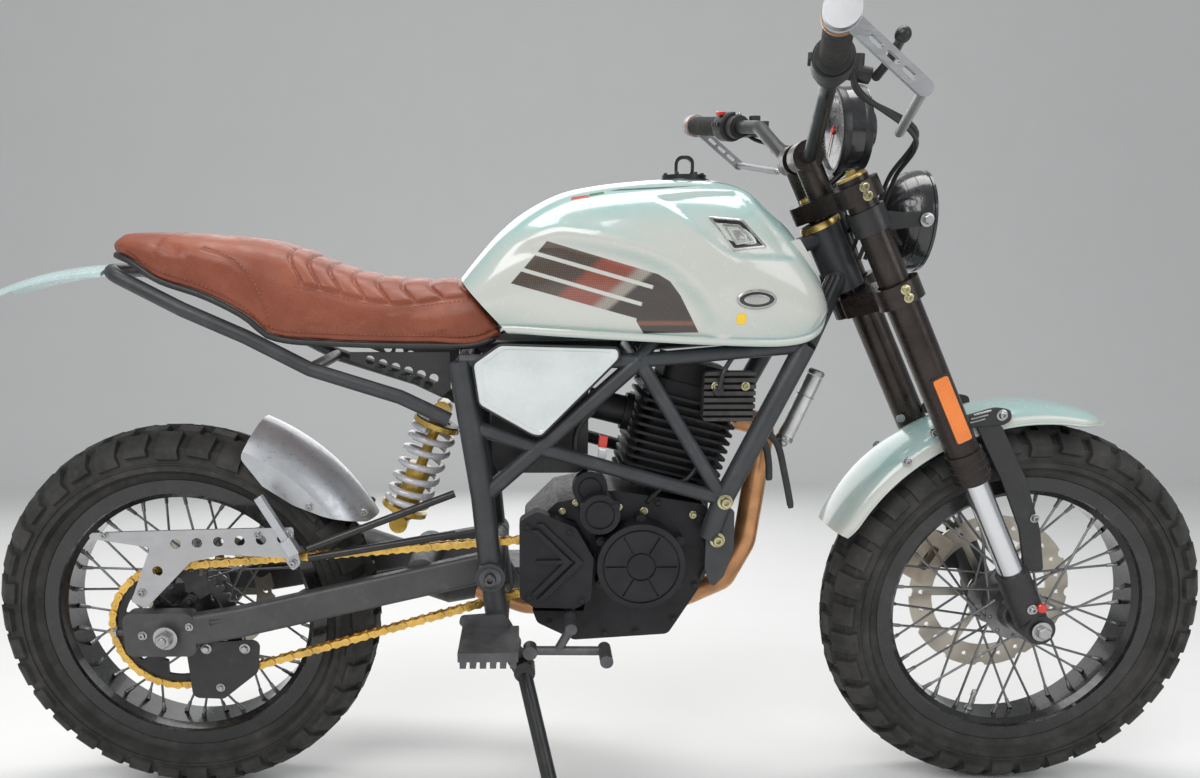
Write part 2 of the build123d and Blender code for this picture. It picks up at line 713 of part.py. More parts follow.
# Footrests and levers
PEG_L = 88
PEG_TEETH = 6
with BuildPart() as footrests:
    for flank in (-1, 1):
        with BuildSketch(Plane.XZ.offset(-flank * 130)) as plate:
            with BuildLine():
                FilletPolyline((450, 350), (530, 356), (560, 300), (500, 296), radius=8, close=True)
            make_face()
        extrude(plate.sketch, amount=-flank * 10)
        with BuildSketch(Plane.XZ.offset(-flank * 140)) as peg:
            with Locations((508, 330)):
                Rectangle(PEG_L, 14)
            for tooth in range(PEG_TEETH):
                with Locations((508 + PEG_L * ((tooth + 0.5) / PEG_TEETH - 0.5), 320)):
                    Rectangle(PEG_L / PEG_TEETH * 0.62, 14)
        extrude(peg.sketch, amount=-flank * 104)
footrests.part.label = "footrests"

with BuildPart() as foot_levers:
    bar((569, -162, 305), (684, -162, 304), 7)
    bar((684, -150, 304), (684, -204, 304), 10)
    bar((569, -150, 305), (569, -174, 305), 11)
    bar((632, -162, 342), (612, -162, 306), 7)
    bar((632, -CASE_HALF - SEAT_GAP, 342), (632, -170, 342), 9)
    bar((569, 200, 300), (700, 200, 312), 7)
    bar((700, 190, 312), (700, 240, 312), 10)
    bar((569, 142, 300), (569, 208, 300), 11)
foot_levers.part.label = "foot_levers"

# Side stand on the chain side; its foot lies flat on the floor when the machine leans
lean = radians(LEAN)
STAND_BOSS_L = 22
STAND_FOOT_X = 618
STAND_FOOT_Y = -250
crown_drop = 0.8
ground_z = -(STAND_FOOT_Y * sin(lean) + crown_drop) / cos(lean)
with BuildPart() as side_stand:
    foot = Vector(STAND_FOOT_X, STAND_FOOT_Y, ground_z)
    floor_plane = Plane(origin=foot, x_dir=(1, 0, 0), z_dir=(0, sin(lean), cos(lean)))
    with BuildSketch(floor_plane) as sole:
        RectangleRounded(70, 48, 12)
    extrude(sole.sketch, amount=9)
    lug_face = -FRAME_Y - STAND_LUG_T / 2 - SEAT_GAP
    boss = Vector(STAND_PIVOT[0], lug_face, STAND_PIVOT[1])
    bar(boss, boss - Vector(0, STAND_BOSS_L, 0), 17)
    bar(foot + floor_plane.z_dir * 6, boss - Vector(0, STAND_BOSS_L - 9, 6), 12)
side_stand.part.label = "side_stand"

# Tank and seat meet on one sloping plane
SEAM_TOP = Vector(467, 0, 862)
SEAM_LOW = Vector(533, 0, 790)
SEAM_GAP = 0.4
seam_way = (SEAM_LOW - SEAM_TOP).normalized()
seam_normal = Vector(-seam_way.Z, 0, seam_way.X)
if seam_normal.X < 0:
    seam_normal = seam_normal * -1


def tank_section(x, low, high, half):
    """A tank section: flat belly, sides that lean in below, and a crowned top."""
    waist = low + 0.36 * (high - low)
    shoulder = waist + 0.7 * (high - waist)
    with BuildSketch(Plane(origin=(x, 0, 0), x_dir=(0, 1, 0), z_dir=(1, 0, 0))) as section:
        with BuildLine():
            Line((-0.86 * half, low), (0.86 * half, low))
            Line((0.86 * half, low), (half, waist))
            ThreePointArc((half, waist), (0.88 * half, shoulder), (0.5 * half, high - 0.06 * (high - waist)))
            ThreePointArc(
                (0.5 * half, high - 0.06 * (high - waist)),
                (0, high),
                (-0.5 * half, high - 0.06 * (high - waist)),
            )
            ThreePointArc((-0.5 * half, high - 0.06 * (high - waist)), (-0.88 * half, shoulder), (-half, waist))
            Line((-half, waist), (-0.86 * half, low))
        make_face()
    return section.sketch


# Tank sections: x, underside, top, half width
TANK = (
    (440, 776, 838, 104),
    (530, 784, 936, 128),
    (640, 780, 996, 146),
    (790, 771, 1009, 152),
    (900, 766, 990, 142),
    (962, 768, 932, 126),
    (1000, 778, 872, 112),
    (1017, 800, 832, 92),
)
TUNNEL_HALF = 114
CAP_SEAT_Z = 1003
CAP_R = 34
CAP_X = 806
with BuildPart() as tank:
    loft([tank_section(*row) for row in TANK])
    split(bisect_by=Plane(origin=SEAM_TOP + seam_normal * SEAM_GAP, z_dir=seam_normal), keep=Keep.TOP)
    with BuildSketch(Plane.XZ.offset(-TUNNEL_HALF)) as tunnel:
        with BuildLine():
            Polyline((670, 740), (670, 790), (780, 866), (1100, 966), (1100, 740), (670, 740))
        make_face()
    extrude(tunnel.sketch, amount=2 * TUNNEL_HALF, mode=Mode.SUBTRACT)
    with BuildSketch(Plane.XY.offset(740)) as notch:
        with Locations((1020, 0)):
            RectangleRounded(190, 104, 24)
    extrude(notch.sketch, amount=300, mode=Mode.SUBTRACT)
    with BuildSketch(Plane(origin=(CAP_X, 0, CAP_SEAT_Z))) as cap_recess:
        Circle(CAP_R + SEAT_GAP)
    extrude(cap_recess.sketch, amount=20, mode=Mode.SUBTRACT)
tank.part.label = "tank"

with BuildPart() as fuel_cap:
    with BuildSketch(Plane(origin=(CAP_X, 0, CAP_SEAT_Z + SEAT_GAP))) as lid:
        Circle(CAP_R)
    extrude(lid.sketch, amount=12)
    with BuildSketch(side(CAP_X, CAP_SEAT_Z + 24, 4)) as hoop:
        RectangleRounded(30, 34, 12)
        RectangleRounded(20, 24, 8, mode=Mode.SUBTRACT)
    extrude(hoop.sketch, amount=8)
fuel_cap.part.label = "fuel_cap"


def seat_section(x, low, high, half):
    """A seat section: flat base, upright sides and a soft crown."""
    rise = high - low
    with BuildSketch(Plane(origin=(x, 0, 0), x_dir=(0, 1, 0), z_dir=(1, 0, 0))) as section:
        with BuildLine():
            Line((-half, low), (half, low))
            Line((half, low), (half, low + 0.45 * rise))
            ThreePointArc((half, low + 0.45 * rise), (0.86 * half, low + 0.86 * rise), (0.55 * half, low + 0.96 * rise))
            ThreePointArc((0.55 * half, low + 0.96 * rise), (0, high), (-0.55 * half, low + 0.96 * rise))
            ThreePointArc((-0.55 * half, low + 0.96 * rise), (-0.86 * half, low + 0.86 * rise), (-half, low + 0.45 * rise))
            Line((-half, low + 0.45 * rise), (-half, low))
        make_face()
    return section.sketch


# Seat sections: x, underside, top, half width
SEAT = (
    (-56, 897, 926, 66),
    (30, 858, 933, 112),
    (140, 810, 925, 122),
    (200, 770, 912, 120),
    (300, 768, 874, 115),
    (400, 769, 859, 112),
    (540, 770, 862, 108),
)
with BuildPart() as seat:
    loft([seat_section(*row) for row in SEAT], ruled=True)
    split(bisect_by=Plane(origin=SEAM_TOP - seam_normal * SEAM_GAP, z_dir=seam_normal), keep=Keep.BOTTOM)
seat.part.label = "seat"

COVER_T = 7
COVER_Y = 128
with BuildPart() as side_covers:
    for flank in (-1, 1):
        with BuildSketch(Plane.XZ.offset(-flank * COVER_Y)) as outline:
            with BuildLine():
                FilletPolyline(
                    (486, 742), (527, 771), (700, 765), (702, 750), (585, 634), (494, 682),
                    radius=5, close=True,
                )
            make_face()
        extrude(outline.sketch, amount=-flank * COVER_T)
side_covers.part.label = "side_covers"

# Vented panels under the seat, each with two rows of round holes
HOLE_R = 7
with BuildPart() as vent_panels:
    for flank in (-1, 1):
        with BuildSketch(Plane.XZ.offset(-flank * 92.5)) as outline:
            with BuildLine():
                Polyline((300, 756), (450, 756), (450, 700), (438, 690), (300, 744), (300, 756))
            make_face()
            for row, count in enumerate((6, 5)):
                for hole in range(count):
                    with Locations((330 + 19 * hole + 10 * row, 744 - 5.5 * hole - 16 * row)):
                        Circle(HOLE_R, mode=Mode.SUBTRACT)
        extrude(outline.sketch, amount=flank * 4)
vent_panels.part.label = "vent_panels"

with BuildPart() as tail_fender:
    faces = []
    for x, z, half, thick in ((-252, 842, 30, 3), (-160, 868, 62, 4), (-69.4, 878, 70, 6)):
        with BuildSketch(Plane(origin=(x, 0, z), x_dir=(0, 1, 0), z_dir=(1, 0, 0))) as face:
            with BuildLine():
                ThreePointArc((-half, -6), (0, 6), (half, -6))
                Line((half, -6), (half, -6 - thick))
                ThreePointArc((half, -6 - thick), (0, 6 - thick), (-half, -6 - thick))
                Line((-half, -6 - thick), (-half, -6))
            make_face()
        faces.append(face.sketch)
    loft(faces)
tail_fender.part.label = "tail_fender"

# Guard, slider plate and hugger round the rear wheel
with BuildPart() as chain_guard:
    with BuildSketch(side(0, 0, -112)) as outline:
        with BuildLine():
            FilletPolyline(
                (-116, 474), (-104, 482), (-40, 484), (205, 490), (205, 440), (90, 446),
                (42, 434), (-34, 358), (-56, 370), (-18, 458),
                radius=4, close=True,
            )
        make_face()
        with Locations(*[(22 + 33 * hole, 464 + 1.5 * hole) for hole in range(6)], (-10, 420)):
            Circle(8, mode=Mode.SUBTRACT)
    extrude(outline.sketch, amount=4)
chain_guard.part.label = "chain_guard"

with BuildPart() as chain_guide:
    with BuildSketch(side(0, 0, -94)) as outline:
        with BuildLine():
            FilletPolyline((15, 292), (135, 296), (128, 240), (70, 194), (20, 196), radius=12, close=True)
        make_face()
    extrude(outline.sketch, amount=4)
chain_guide.part.label = "chain_guide"

HUGGER_R = TYRE_R + 42
HUGGER_HALF = 75
HUGGER_T = 3
# The hugger's outline seen from the side
HUGGER_OUTLINE = ((150, 660), (118, 590), (150, 545), (196, 514), (240, 496), (306, 478), (345, 486), (390, 600), (300, 700))
with BuildPart() as hugger:
    with BuildSketch(Plane(origin=(0, 0, TYRE_R), x_dir=(0, 1, 0), z_dir=(1, 0, 0))) as section:
        for inset in (0, HUGGER_T):
            half = HUGGER_HALF - inset
            top = HUGGER_R - inset
            with BuildLine():
                Line((-half, TYRE_R - 60), (-half, TYRE_R - 6))
                ThreePointArc((-half, TYRE_R - 6), (0, top), (half, TYRE_R - 6))
                Polyline((half, TYRE_R - 6), (half, TYRE_R - 60), (-half, TYRE_R - 60))
            make_face(mode=Mode.ADD if inset == 0 else Mode.SUBTRACT)
    revolve(section.sketch, axis=axle_line(0), revolution_arc=64)
    with BuildSketch(side(0, 0, HUGGER_HALF + 5)) as outline:
        with BuildLine():
            FilletPolyline(*HUGGER_OUTLINE, radius=14, close=True)
        make_face()
    extrude(outline.sketch, amount=2 * HUGGER_HALF + 10, mode=Mode.INTERSECT)
hugger.part.label = "hugger"

with BuildPart() as hugger_stays:
    for z_rear, z_front in ((455, 536), (440, 470)):
        bar((225, -116, z_rear), (452, -88, z_front), 6)
hugger_stays.part.label = "hugger_stays"

# Brake calipers: each straddles its disc's edge and is bolted to a flat face
DISC_ROOM = 1


def caliper(x, disc_r, disc_y, turned, long, deep, back_y, front_y):
    """A caliper over the rim of a disc, at an angle round the axle, from back_y to front_y."""
    way = Vector(cos(radians(turned)), 0, sin(radians(turned)))
    at = Vector(x, 0, TYRE_R) + way * (disc_r + 2)
    with BuildPart() as body:
        with BuildSketch(side(at.X, at.Z, back_y, turned)) as block:
            RectangleRounded(deep, long, 12)
        extrude(block.sketch, amount=back_y - front_y)
        with BuildSketch(side(x, TYRE_R, disc_y - DISC_ROOM)) as gap:
            Circle(disc_r + 3)
        extrude(gap.sketch, amount=-DISC_T - 2 * DISC_ROOM, mode=Mode.SUBTRACT)
        with BuildSketch(side(at.X, at.Z, back_y, turned)) as window:
            with Locations((-4, 0)):
                RectangleRounded(16, long * 0.5, 4)
        extrude(window.sketch, amount=back_y - front_y, mode=Mode.SUBTRACT)
    return body


rear_caliper = caliper(0, REAR_DISC_R, REAR_DISC_Y + SEAT_GAP, 38, 74, 50, 56, ARM_OUT_Y - ARM_W)
rear_caliper.part.label = "rear_caliper"

# Front end, all of it turning with the fork
CLAMP_Z = 985
CLAMP_LOW_Z = 843
CLAMP_DROP = FORK_OFFSET * sin(rake)
bar_mid = on_head(CLAMP_Z - CLAMP_DROP) + Vector(BAR_MID[0], 0, BAR_MID[1])
YOKE_T = 28
COLLAR_Z = 560
STANCHION_LOW_Z = 400
CARRIER_Y = FORK_Y - 9
SIDES = (-1, 1)


def yoke_plane(z):
    """The plane across the fork at the height where a leg passes it, centred on the steering axis."""
    return Plane(origin=on_head(z - CLAMP_DROP), x_dir=fork_ahead, z_dir=fork_up)


def yoke(z, clamp_r, stem_r, thickness):
    """A fork yoke: a clamp on each leg and a boss on the steering axis."""
    with BuildPart() as plate:
        with BuildSketch(yoke_plane(z).offset(-thickness / 2)) as outline:
            with BuildLine():
                Polyline(
                    (-24, -30), (FORK_OFFSET - 14, -FORK_Y - 12), (FORK_OFFSET + 20, -FORK_Y),
                    (30, 0), (FORK_OFFSET + 20, FORK_Y), (FORK_OFFSET - 14, FORK_Y + 12),
                    (-24, 30), (-24, -30),
                )
            make_face()
            Circle(stem_r)
            with Locations((FORK_OFFSET, -FORK_Y), (FORK_OFFSET, FORK_Y)):
                Circle(clamp_r)
        extrude(outline.sketch, amount=thickness)
    return plate


with BuildPart() as fork_tubes:
    for flank in SIDES:
        y = flank * FORK_Y
        bar(on_fork(CLAMP_LOW_Z - 10, y), on_fork(CLAMP_Z + 20, y), OUTER_TOP_R)
        bar(on_fork(COLLAR_Z, y), on_fork(CLAMP_LOW_Z - 10, y), OUTER_R)
        bar(on_fork(COLLAR_Z, y), on_fork(COLLAR_Z + 42, y), OUTER_R + 3)
        bar(on_fork(COLLAR_Z - 4, y), on_fork(COLLAR_Z + 30, y), STANCHION_R + 0.2, mode=Mode.SUBTRACT)
fork_tubes.part.label = "fork_tubes"

with BuildPart() as stanchions:
    for flank in SIDES:
        y = flank * FORK_Y
        bar(on_fork(STANCHION_LOW_Z, y), on_fork(COLLAR_Z + 29, y), STANCHION_R)
stanchions.part.label = "stanchions"

with BuildPart() as axle_castings:
    for flank in SIDES:
        y = flank * FORK_Y
        bar(on_fork(TYRE_R + 6, y), on_fork(STANCHION_LOW_Z + 6, y), STANCHION_R + 6)
        bar((WHEELBASE, flank * 70, TYRE_R), (WHEELBASE, flank * 118, TYRE_R), 24)
        bar((WHEELBASE, flank * (FRONT_DISC_Y + SEAT_GAP), TYRE_R), (WHEELBASE, flank * 70, TYRE_R), SPACER_R)
    with BuildSketch(side(0, 0, CARRIER_Y)) as carrier:
        with BuildLine():
            Polyline(
                (WHEELBASE - 140, TYRE_R + 90), (WHEELBASE - 108, TYRE_R + 112), (WHEELBASE - 30, TYRE_R + 84),
                (WHEELBASE - 12, TYRE_R + 34), (WHEELBASE - 70, TYRE_R + 36), (WHEELBASE - 128, TYRE_R + 50),
                (WHEELBASE - 140, TYRE_R + 90),
            )
        make_face()
    extrude(carrier.sketch, amount=-8)
    bar(
        on_fork(STANCHION_LOW_Z + 6, FORK_Y), on_fork(STANCHION_LOW_Z + 80, FORK_Y),
        STANCHION_R + SEAT_GAP, mode=Mode.SUBTRACT,
    )
    for flank in SIDES:
        y = flank * FORK_Y
        bar(on_fork(STANCHION_LOW_Z, y), on_fork(STANCHION_LOW_Z + 9, y), STANCHION_R, mode=Mode.SUBTRACT)
    bar((WHEELBASE, -122, TYRE_R), (WHEELBASE, 122, TYRE_R), AXLE_R)
axle_castings.part.label = "axle_castings"

with BuildPart() as upper_yoke:
    add(yoke(CLAMP_Z, 33, 34, YOKE_T).part)
    for flank in SIDES:
        y = flank * FORK_Y
        bar(on_fork(CLAMP_Z - 40, y), on_fork(CLAMP_Z + 40, y), OUTER_TOP_R + SEAT_GAP, mode=Mode.SUBTRACT)
        bar_seat = bar_mid + Vector(0, flank * RISER_Y, 0)
        bar(bar_seat - fork_up * 74, bar_seat, 19)
        bar(bar_seat - Vector(0, RISER_HALF, 0), bar_seat + Vector(0, RISER_HALF, 0), 23)
        bar(bar_seat - Vector(0, 30, 0), bar_seat + Vector(0, 30, 0), BAR_R + 0.1, mode=Mode.SUBTRACT)
upper_yoke.part.label = "upper_yoke"

with BuildPart() as lower_yoke:
    add(yoke(CLAMP_LOW_Z, 34, 32, YOKE_T + 4).part)
    bar(on_head(CLAMP_LOW_Z - CLAMP_DROP), on_head(CLAMP_Z - CLAMP_DROP - YOKE_T / 2 - 1), HEAD_R - 13)
    for flank in SIDES:
        y = flank * FORK_Y
        bar(on_fork(CLAMP_LOW_Z - 40, y), on_fork(CLAMP_LOW_Z + 40, y), OUTER_R + SEAT_GAP, mode=Mode.SUBTRACT)
lower_yoke.part.label = "lower_yoke"

# Handlebar, from its clamps out to its ends
BAR_FLAT = 62


def bar_point(way, flank):
    """A point of the bar, from the offsets that its middle gives."""
    return bar_mid + Vector(way[0], flank * way[1], way[2])


bar_route = (
    bar_point(BAR_TIP, -1), bar_point(BAR_RISE, -1), bar_point((0, BAR_FLAT, 0), -1),
    bar_point((0, BAR_FLAT, 0), 1), bar_point(BAR_RISE, 1), bar_point(BAR_TIP, 1),
)
with BuildPart() as handlebar:
    pipe(bar_route, BAR_R, 45)
handlebar.part.label = "handlebar"


def on_bar(reach, flank):
    """A point of the handlebar's straight end, measured inwards from its tip."""
    tip = bar_point(BAR_TIP, flank)
    bend = bar_point(BAR_RISE, flank)
    return tip + (bend - tip).normalized() * reach


def sleeve(start, end, radius, flank):
    """A sleeve on the handlebar's straight end, clear of the tube inside it."""
    bar(on_bar(start, flank), on_bar(end, flank), radius)
    bar(on_bar(start - 1, flank), on_bar(end + 1, flank), BAR_R + SEAT_GAP, mode=Mode.SUBTRACT)


with BuildPart() as grips:
    for flank in SIDES:
        sleeve(0.3, GRIP_L, 17, flank)
grips.part.label = "grips"

# Each lever perch has a threaded hole for a mirror
MIRROR_R = 5
MIRROR_DEPTH = 14
PERCH_AT = GRIP_L + 56
with BuildPart() as switchgear:
    for flank in SIDES:
        sleeve(GRIP_L + 2, GRIP_L + 42, 24, flank)
        sleeve(GRIP_L + 46, GRIP_L + 66, 18, flank)
        perch = on_bar(PERCH_AT, flank)
        bar(perch + Vector(16, 0, 0), perch + Vector(48.2, 0, -6.4), 10)
        bar(perch + Vector(30, 0, -8), perch + Vector(30, 0, 18), 10)
        mouth = perch + Vector(30, 0, 18)
        bar(mouth - Vector(0, 0, MIRROR_DEPTH), mouth + Vector(0, 0, 1), MIRROR_R, mode=Mode.SUBTRACT)
switchgear.part.label = "switchgear"

with BuildPart() as levers:
    for flank in SIDES:
        pivot = on_bar(GRIP_L + 52, flank) + Vector(56, 0, -8)
        bend = on_bar(GRIP_L - 10, flank) + Vector(66, 0, -6)
        tip = on_bar(34, flank) + Vector(70, 0, -6)
        pipe((pivot, bend, tip), 6, 40)
        with Locations(tip):
            Sphere(9)
levers.part.label = "levers"

# Lever guards: a slotted flat blade ahead of each grip, then a bar that runs back in
BLADE_W = 18
BLADE_T = 6
BLADE_SLOTS = 3
with BuildPart() as bar_guards:
    for flank in SIDES:
        end = on_bar(-16, flank)
        bar(on_bar(-26, flank), on_bar(-0.3, flank), 20)
        corner = end + Vector(92, 0, -74)
        inner = on_bar(GRIP_L + 30, flank) + Vector(88, 0, -78)
        way = corner - end
        tilt = 180 / pi * atan2(way.Z, way.X)
        middle = end + way * 0.5
        blade_face = side(middle.X, middle.Z, end.Y + BLADE_T / 2, tilt)
        with BuildSketch(blade_face) as blade:
            SlotOverall(way.length + BLADE_W, BLADE_W)
            with Locations((12, 0)):
                with GridLocations(24, 0, BLADE_SLOTS, 1):
                    SlotOverall(18, 6, mode=Mode.SUBTRACT)
        extrude(blade.sketch, amount=BLADE_T)
        bar(corner, inner, 6)
        with Locations(inner):
            Sphere(6)
bar_guards.part.label = "bar_guards"

with BuildPart() as instrument:
    face = Plane(origin=bar_mid + Vector(50, 0, 40), z_dir=(1, 0, 0.08))
    with BuildSketch(face) as rim_circle:
        Circle(62)
    extrude(rim_circle.sketch, amount=40)
    with BuildSketch(face.offset(40)) as dome:
        with Locations((0, -18)):
            Circle(36)
    extrude(dome.sketch, amount=22, taper=20)
    bar(bar_mid + Vector(68, 0, -16), bar_mid + Vector(44, 0, -37), 8)
instrument.part.label = "instrument"

LAMP_Z = 947
LAMP_AHEAD = 86
LAMP_R = 76
LAMP = on_fork(LAMP_Z) + Vector(LAMP_AHEAD, 0, 0)
with BuildPart() as headlight:
    with BuildSketch(Plane.XZ.offset(0)) as section:
        with BuildLine():
            Polyline(
                (LAMP.X - 54, LAMP.Z), (LAMP.X - 54, LAMP.Z + 24), (LAMP.X - 30, LAMP.Z + 58),
                (LAMP.X - 6, LAMP.Z + LAMP_R - 4), (LAMP.X + 22, LAMP.Z + LAMP_R),
                (LAMP.X + 22, LAMP.Z + LAMP_R - 6), (LAMP.X + 10, LAMP.Z + LAMP_R - 6),
                (LAMP.X + 10, LAMP.Z), (LAMP.X - 54, LAMP.Z),
            )
        make_face()
    revolve(section.sketch, axis=Axis(LAMP, (1, 0, 0)))
headlight.part.label = "headlight"

lens_x = LAMP.X + 10 + SEAT_GAP
lens_r = LAMP_R - 6 - SEAT_GAP
with BuildPart() as headlight_lens:
    with BuildSketch(Plane.XZ) as section:
        with BuildLine():
            Polyline(
                (lens_x + 18, LAMP.Z + 4), (lens_x + 18, LAMP.Z), (lens_x, LAMP.Z),
                (lens_x, LAMP.Z + lens_r), (lens_x + 8, LAMP.Z + lens_r),
            )
            ThreePointArc((lens_x + 8, LAMP.Z + lens_r), (lens_x + 15.5, LAMP.Z + 38), (lens_x + 18, LAMP.Z + 4))
        make_face()
    revolve(section.sketch, axis=Axis(LAMP, (1, 0, 0)))
headlight_lens.part.label = "headlight_lens"

with BuildPart() as headlight_bracket:
    for flank in SIDES:
        y = flank * FORK_Y
        bar(on_fork(LAMP_Z - 17, y), on_fork(LAMP_Z + 15, y), OUTER_TOP_R + 5)
        with BuildSketch(Plane.XZ.offset(-flank * (LAMP_R + 7))) as arm:
            with BuildLine():
                Polyline(
                    (LAMP.X - 80, LAMP_Z + 15), (LAMP.X + 10, LAMP_Z + 7), (LAMP.X + 10, LAMP_Z - 7),
                    (LAMP.X - 76, LAMP_Z - 17), (LAMP.X - 80, LAMP_Z + 15),
                )
            make_face()
        extrude(arm.sketch, amount=-flank * 5)
        bar(on_fork(LAMP_Z - 37, y), on_fork(LAMP_Z + 38, y), OUTER_TOP_R + SEAT_GAP, mode=Mode.SUBTRACT)
headlight_bracket.part.label = "headlight_bracket"

# Front fender: a curved blade round the tyre from its tail to its nose
FENDER_R = TYRE_R + 46
FENDER_T = 4
FENDER_HALF = 66
FENDER_NOSE = -12
FENDER_SWEEP = 80
with BuildPart() as front_fender:
    with BuildSketch(Plane(origin=(0, 0, 0), x_dir=(0, 1, 0), z_dir=(1, 0, 0))) as section:
        with BuildLine():
            ThreePointArc((-FENDER_HALF, FENDER_R - 34), (0, FENDER_R), (FENDER_HALF, FENDER_R - 34))
            Line((FENDER_HALF, FENDER_R - 34), (FENDER_HALF - 4, FENDER_R - 34))
            ThreePointArc(
                (FENDER_HALF - 4, FENDER_R - 34), (0, FENDER_R - FENDER_T), (4 - FENDER_HALF, FENDER_R - 34)
            )
            Line((4 - FENDER_HALF, FENDER_R - 34), (-FENDER_HALF, FENDER_R - 34))
        make_face()
    revolve(section.sketch, axis=Axis((0, 0, 0), (0, 1, 0)), revolution_arc=FENDER_SWEEP)
front_fender.part = front_fender.part.moved(Location((WHEELBASE, 0, TYRE_R), (0, -FENDER_SWEEP + FENDER_NOSE + 25, 0)))
with BuildPart() as fender_trim:
    with BuildSketch(side(0, 0, FENDER_HALF + 2)) as cut:
        with BuildLine():
            Polyline(
                (WHEELBASE - 60, TYRE_R + 338), (WHEELBASE + 120, TYRE_R + 312),
                (WHEELBASE + 120, TYRE_R + 200), (WHEELBASE - 60, TYRE_R + 200),
                (WHEELBASE - 60, TYRE_R + 338),
            )
        make_face()
    extrude(cut.sketch, amount=2 * FENDER_HALF + 4)
front_fender.part = front_fender.part - fender_trim.part
front_fender.part.label = "front_fender"

with BuildPart() as fender_stays:
    for flank in SIDES:
        with BuildSketch(Plane.XZ.offset(-flank * 70)) as strap:
            with BuildLine():
                Polyline(
                    (WHEELBASE - 118, TYRE_R + 324), (WHEELBASE - 80, TYRE_R + 324), (WHEELBASE + 18, TYRE_R + 84),
                    (WHEELBASE - 14, TYRE_R + 84), (WHEELBASE - 118, TYRE_R + 324),
                )
            make_face()
        extrude(strap.sketch, amount=-flank * 3)
fender_stays.part.label = "fender_stays"

CALIPER_TURN = 150
CALIPER_LONG = 92
CALIPER_DEEP = 56
front_caliper = caliper(
    WHEELBASE, FRONT_DISC_R, FRONT_DISC_Y + SEAT_GAP, CALIPER_TURN, CALIPER_LONG, CALIPER_DEEP,
    FRONT_DISC_Y - 16, CARRIER_Y,
)
front_caliper.part.label = "front_caliper"

# Front brake hose, down ahead of the fork leg and back to the caliper
HOSE_R = 4.5
HOSE_Y = FORK_Y + OUTER_R + 10
with BuildPart() as brake_hose:
    hose_top = on_bar(PERCH_AT, 1) + Vector(31, -10.5, -3)
    way = Vector(cos(radians(CALIPER_TURN)), 0, sin(radians(CALIPER_TURN)))
    union = front_axle + way * (FRONT_DISC_R + 2 + CALIPER_DEEP / 2 + SEAT_GAP) + Vector(0, FRONT_DISC_Y + 6, 0)
    pipe(
        (
            hose_top, hose_top + Vector(0, -26, 0), on_fork(990, HOSE_Y + 6) + Vector(48, 0, 0),
            on_fork(900, HOSE_Y) + Vector(34, 0, 0), on_fork(640, HOSE_Y) + Vector(26, 0, 0),
            on_fork(560, HOSE_Y) + Vector(-44, 0, 0), union + way * 40, union,
        ),
        HOSE_R, (12, 40, 40, 50, 30, 14),
    )
brake_hose.part.label = "brake_hose"

# The whole machine leaned on its stand, its floor at z = 0 and its middle at the origin
PIECES = (
    frame_left, frame_right, frame_centre, subframe, swingarm, shock_body, shock_spring,
    crankcase, cylinder, engine_covers, sprocket_cover, clutch_cover, header, muffler,
    regulator, canister, airbox, footrests, foot_levers, tank, fuel_cap, seat, side_covers,
    vent_panels, tail_fender, chain, chain_guard, chain_guide, hugger, hugger_stays, rear_caliper,
    fork_tubes, stanchions, axle_castings, upper_yoke, lower_yoke, handlebar, grips,
    switchgear, levers, bar_guards, instrument, headlight, headlight_lens, headlight_bracket,
    front_fender, fender_stays, front_caliper, brake_hose,
    rear_tyre, rear_rim, rear_hub, rear_sprocket, rear_disc,
    front_tyre, front_rim, front_hub, front_disc, side_stand,
)
leaned = Location((0, 0, 0), (LEAN, 0, 0))
reach = Compound(children=[piece.part.moved(leaned) for piece in PIECES]).bounding_box()
parked = Location((-reach.center().X, -reach.center().Y, -reach.min.Z)) * leaned
print("parked origin in the upright machine's axes", tuple(parked.position), "size", tuple(reach.size))
for piece in PIECES:
    standing = piece.part.moved(parked)
    standing.label = piece.part.label
    export_step(standing, f"parts/{standing.label}.step")
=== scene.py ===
import json
from math import asin, atan2, cos, exp, hypot, pi, radians, sin, sqrt, tan

import bmesh
import bpy
from mathutils import Matrix, Vector
from mathutils.bvhtree import BVHTree


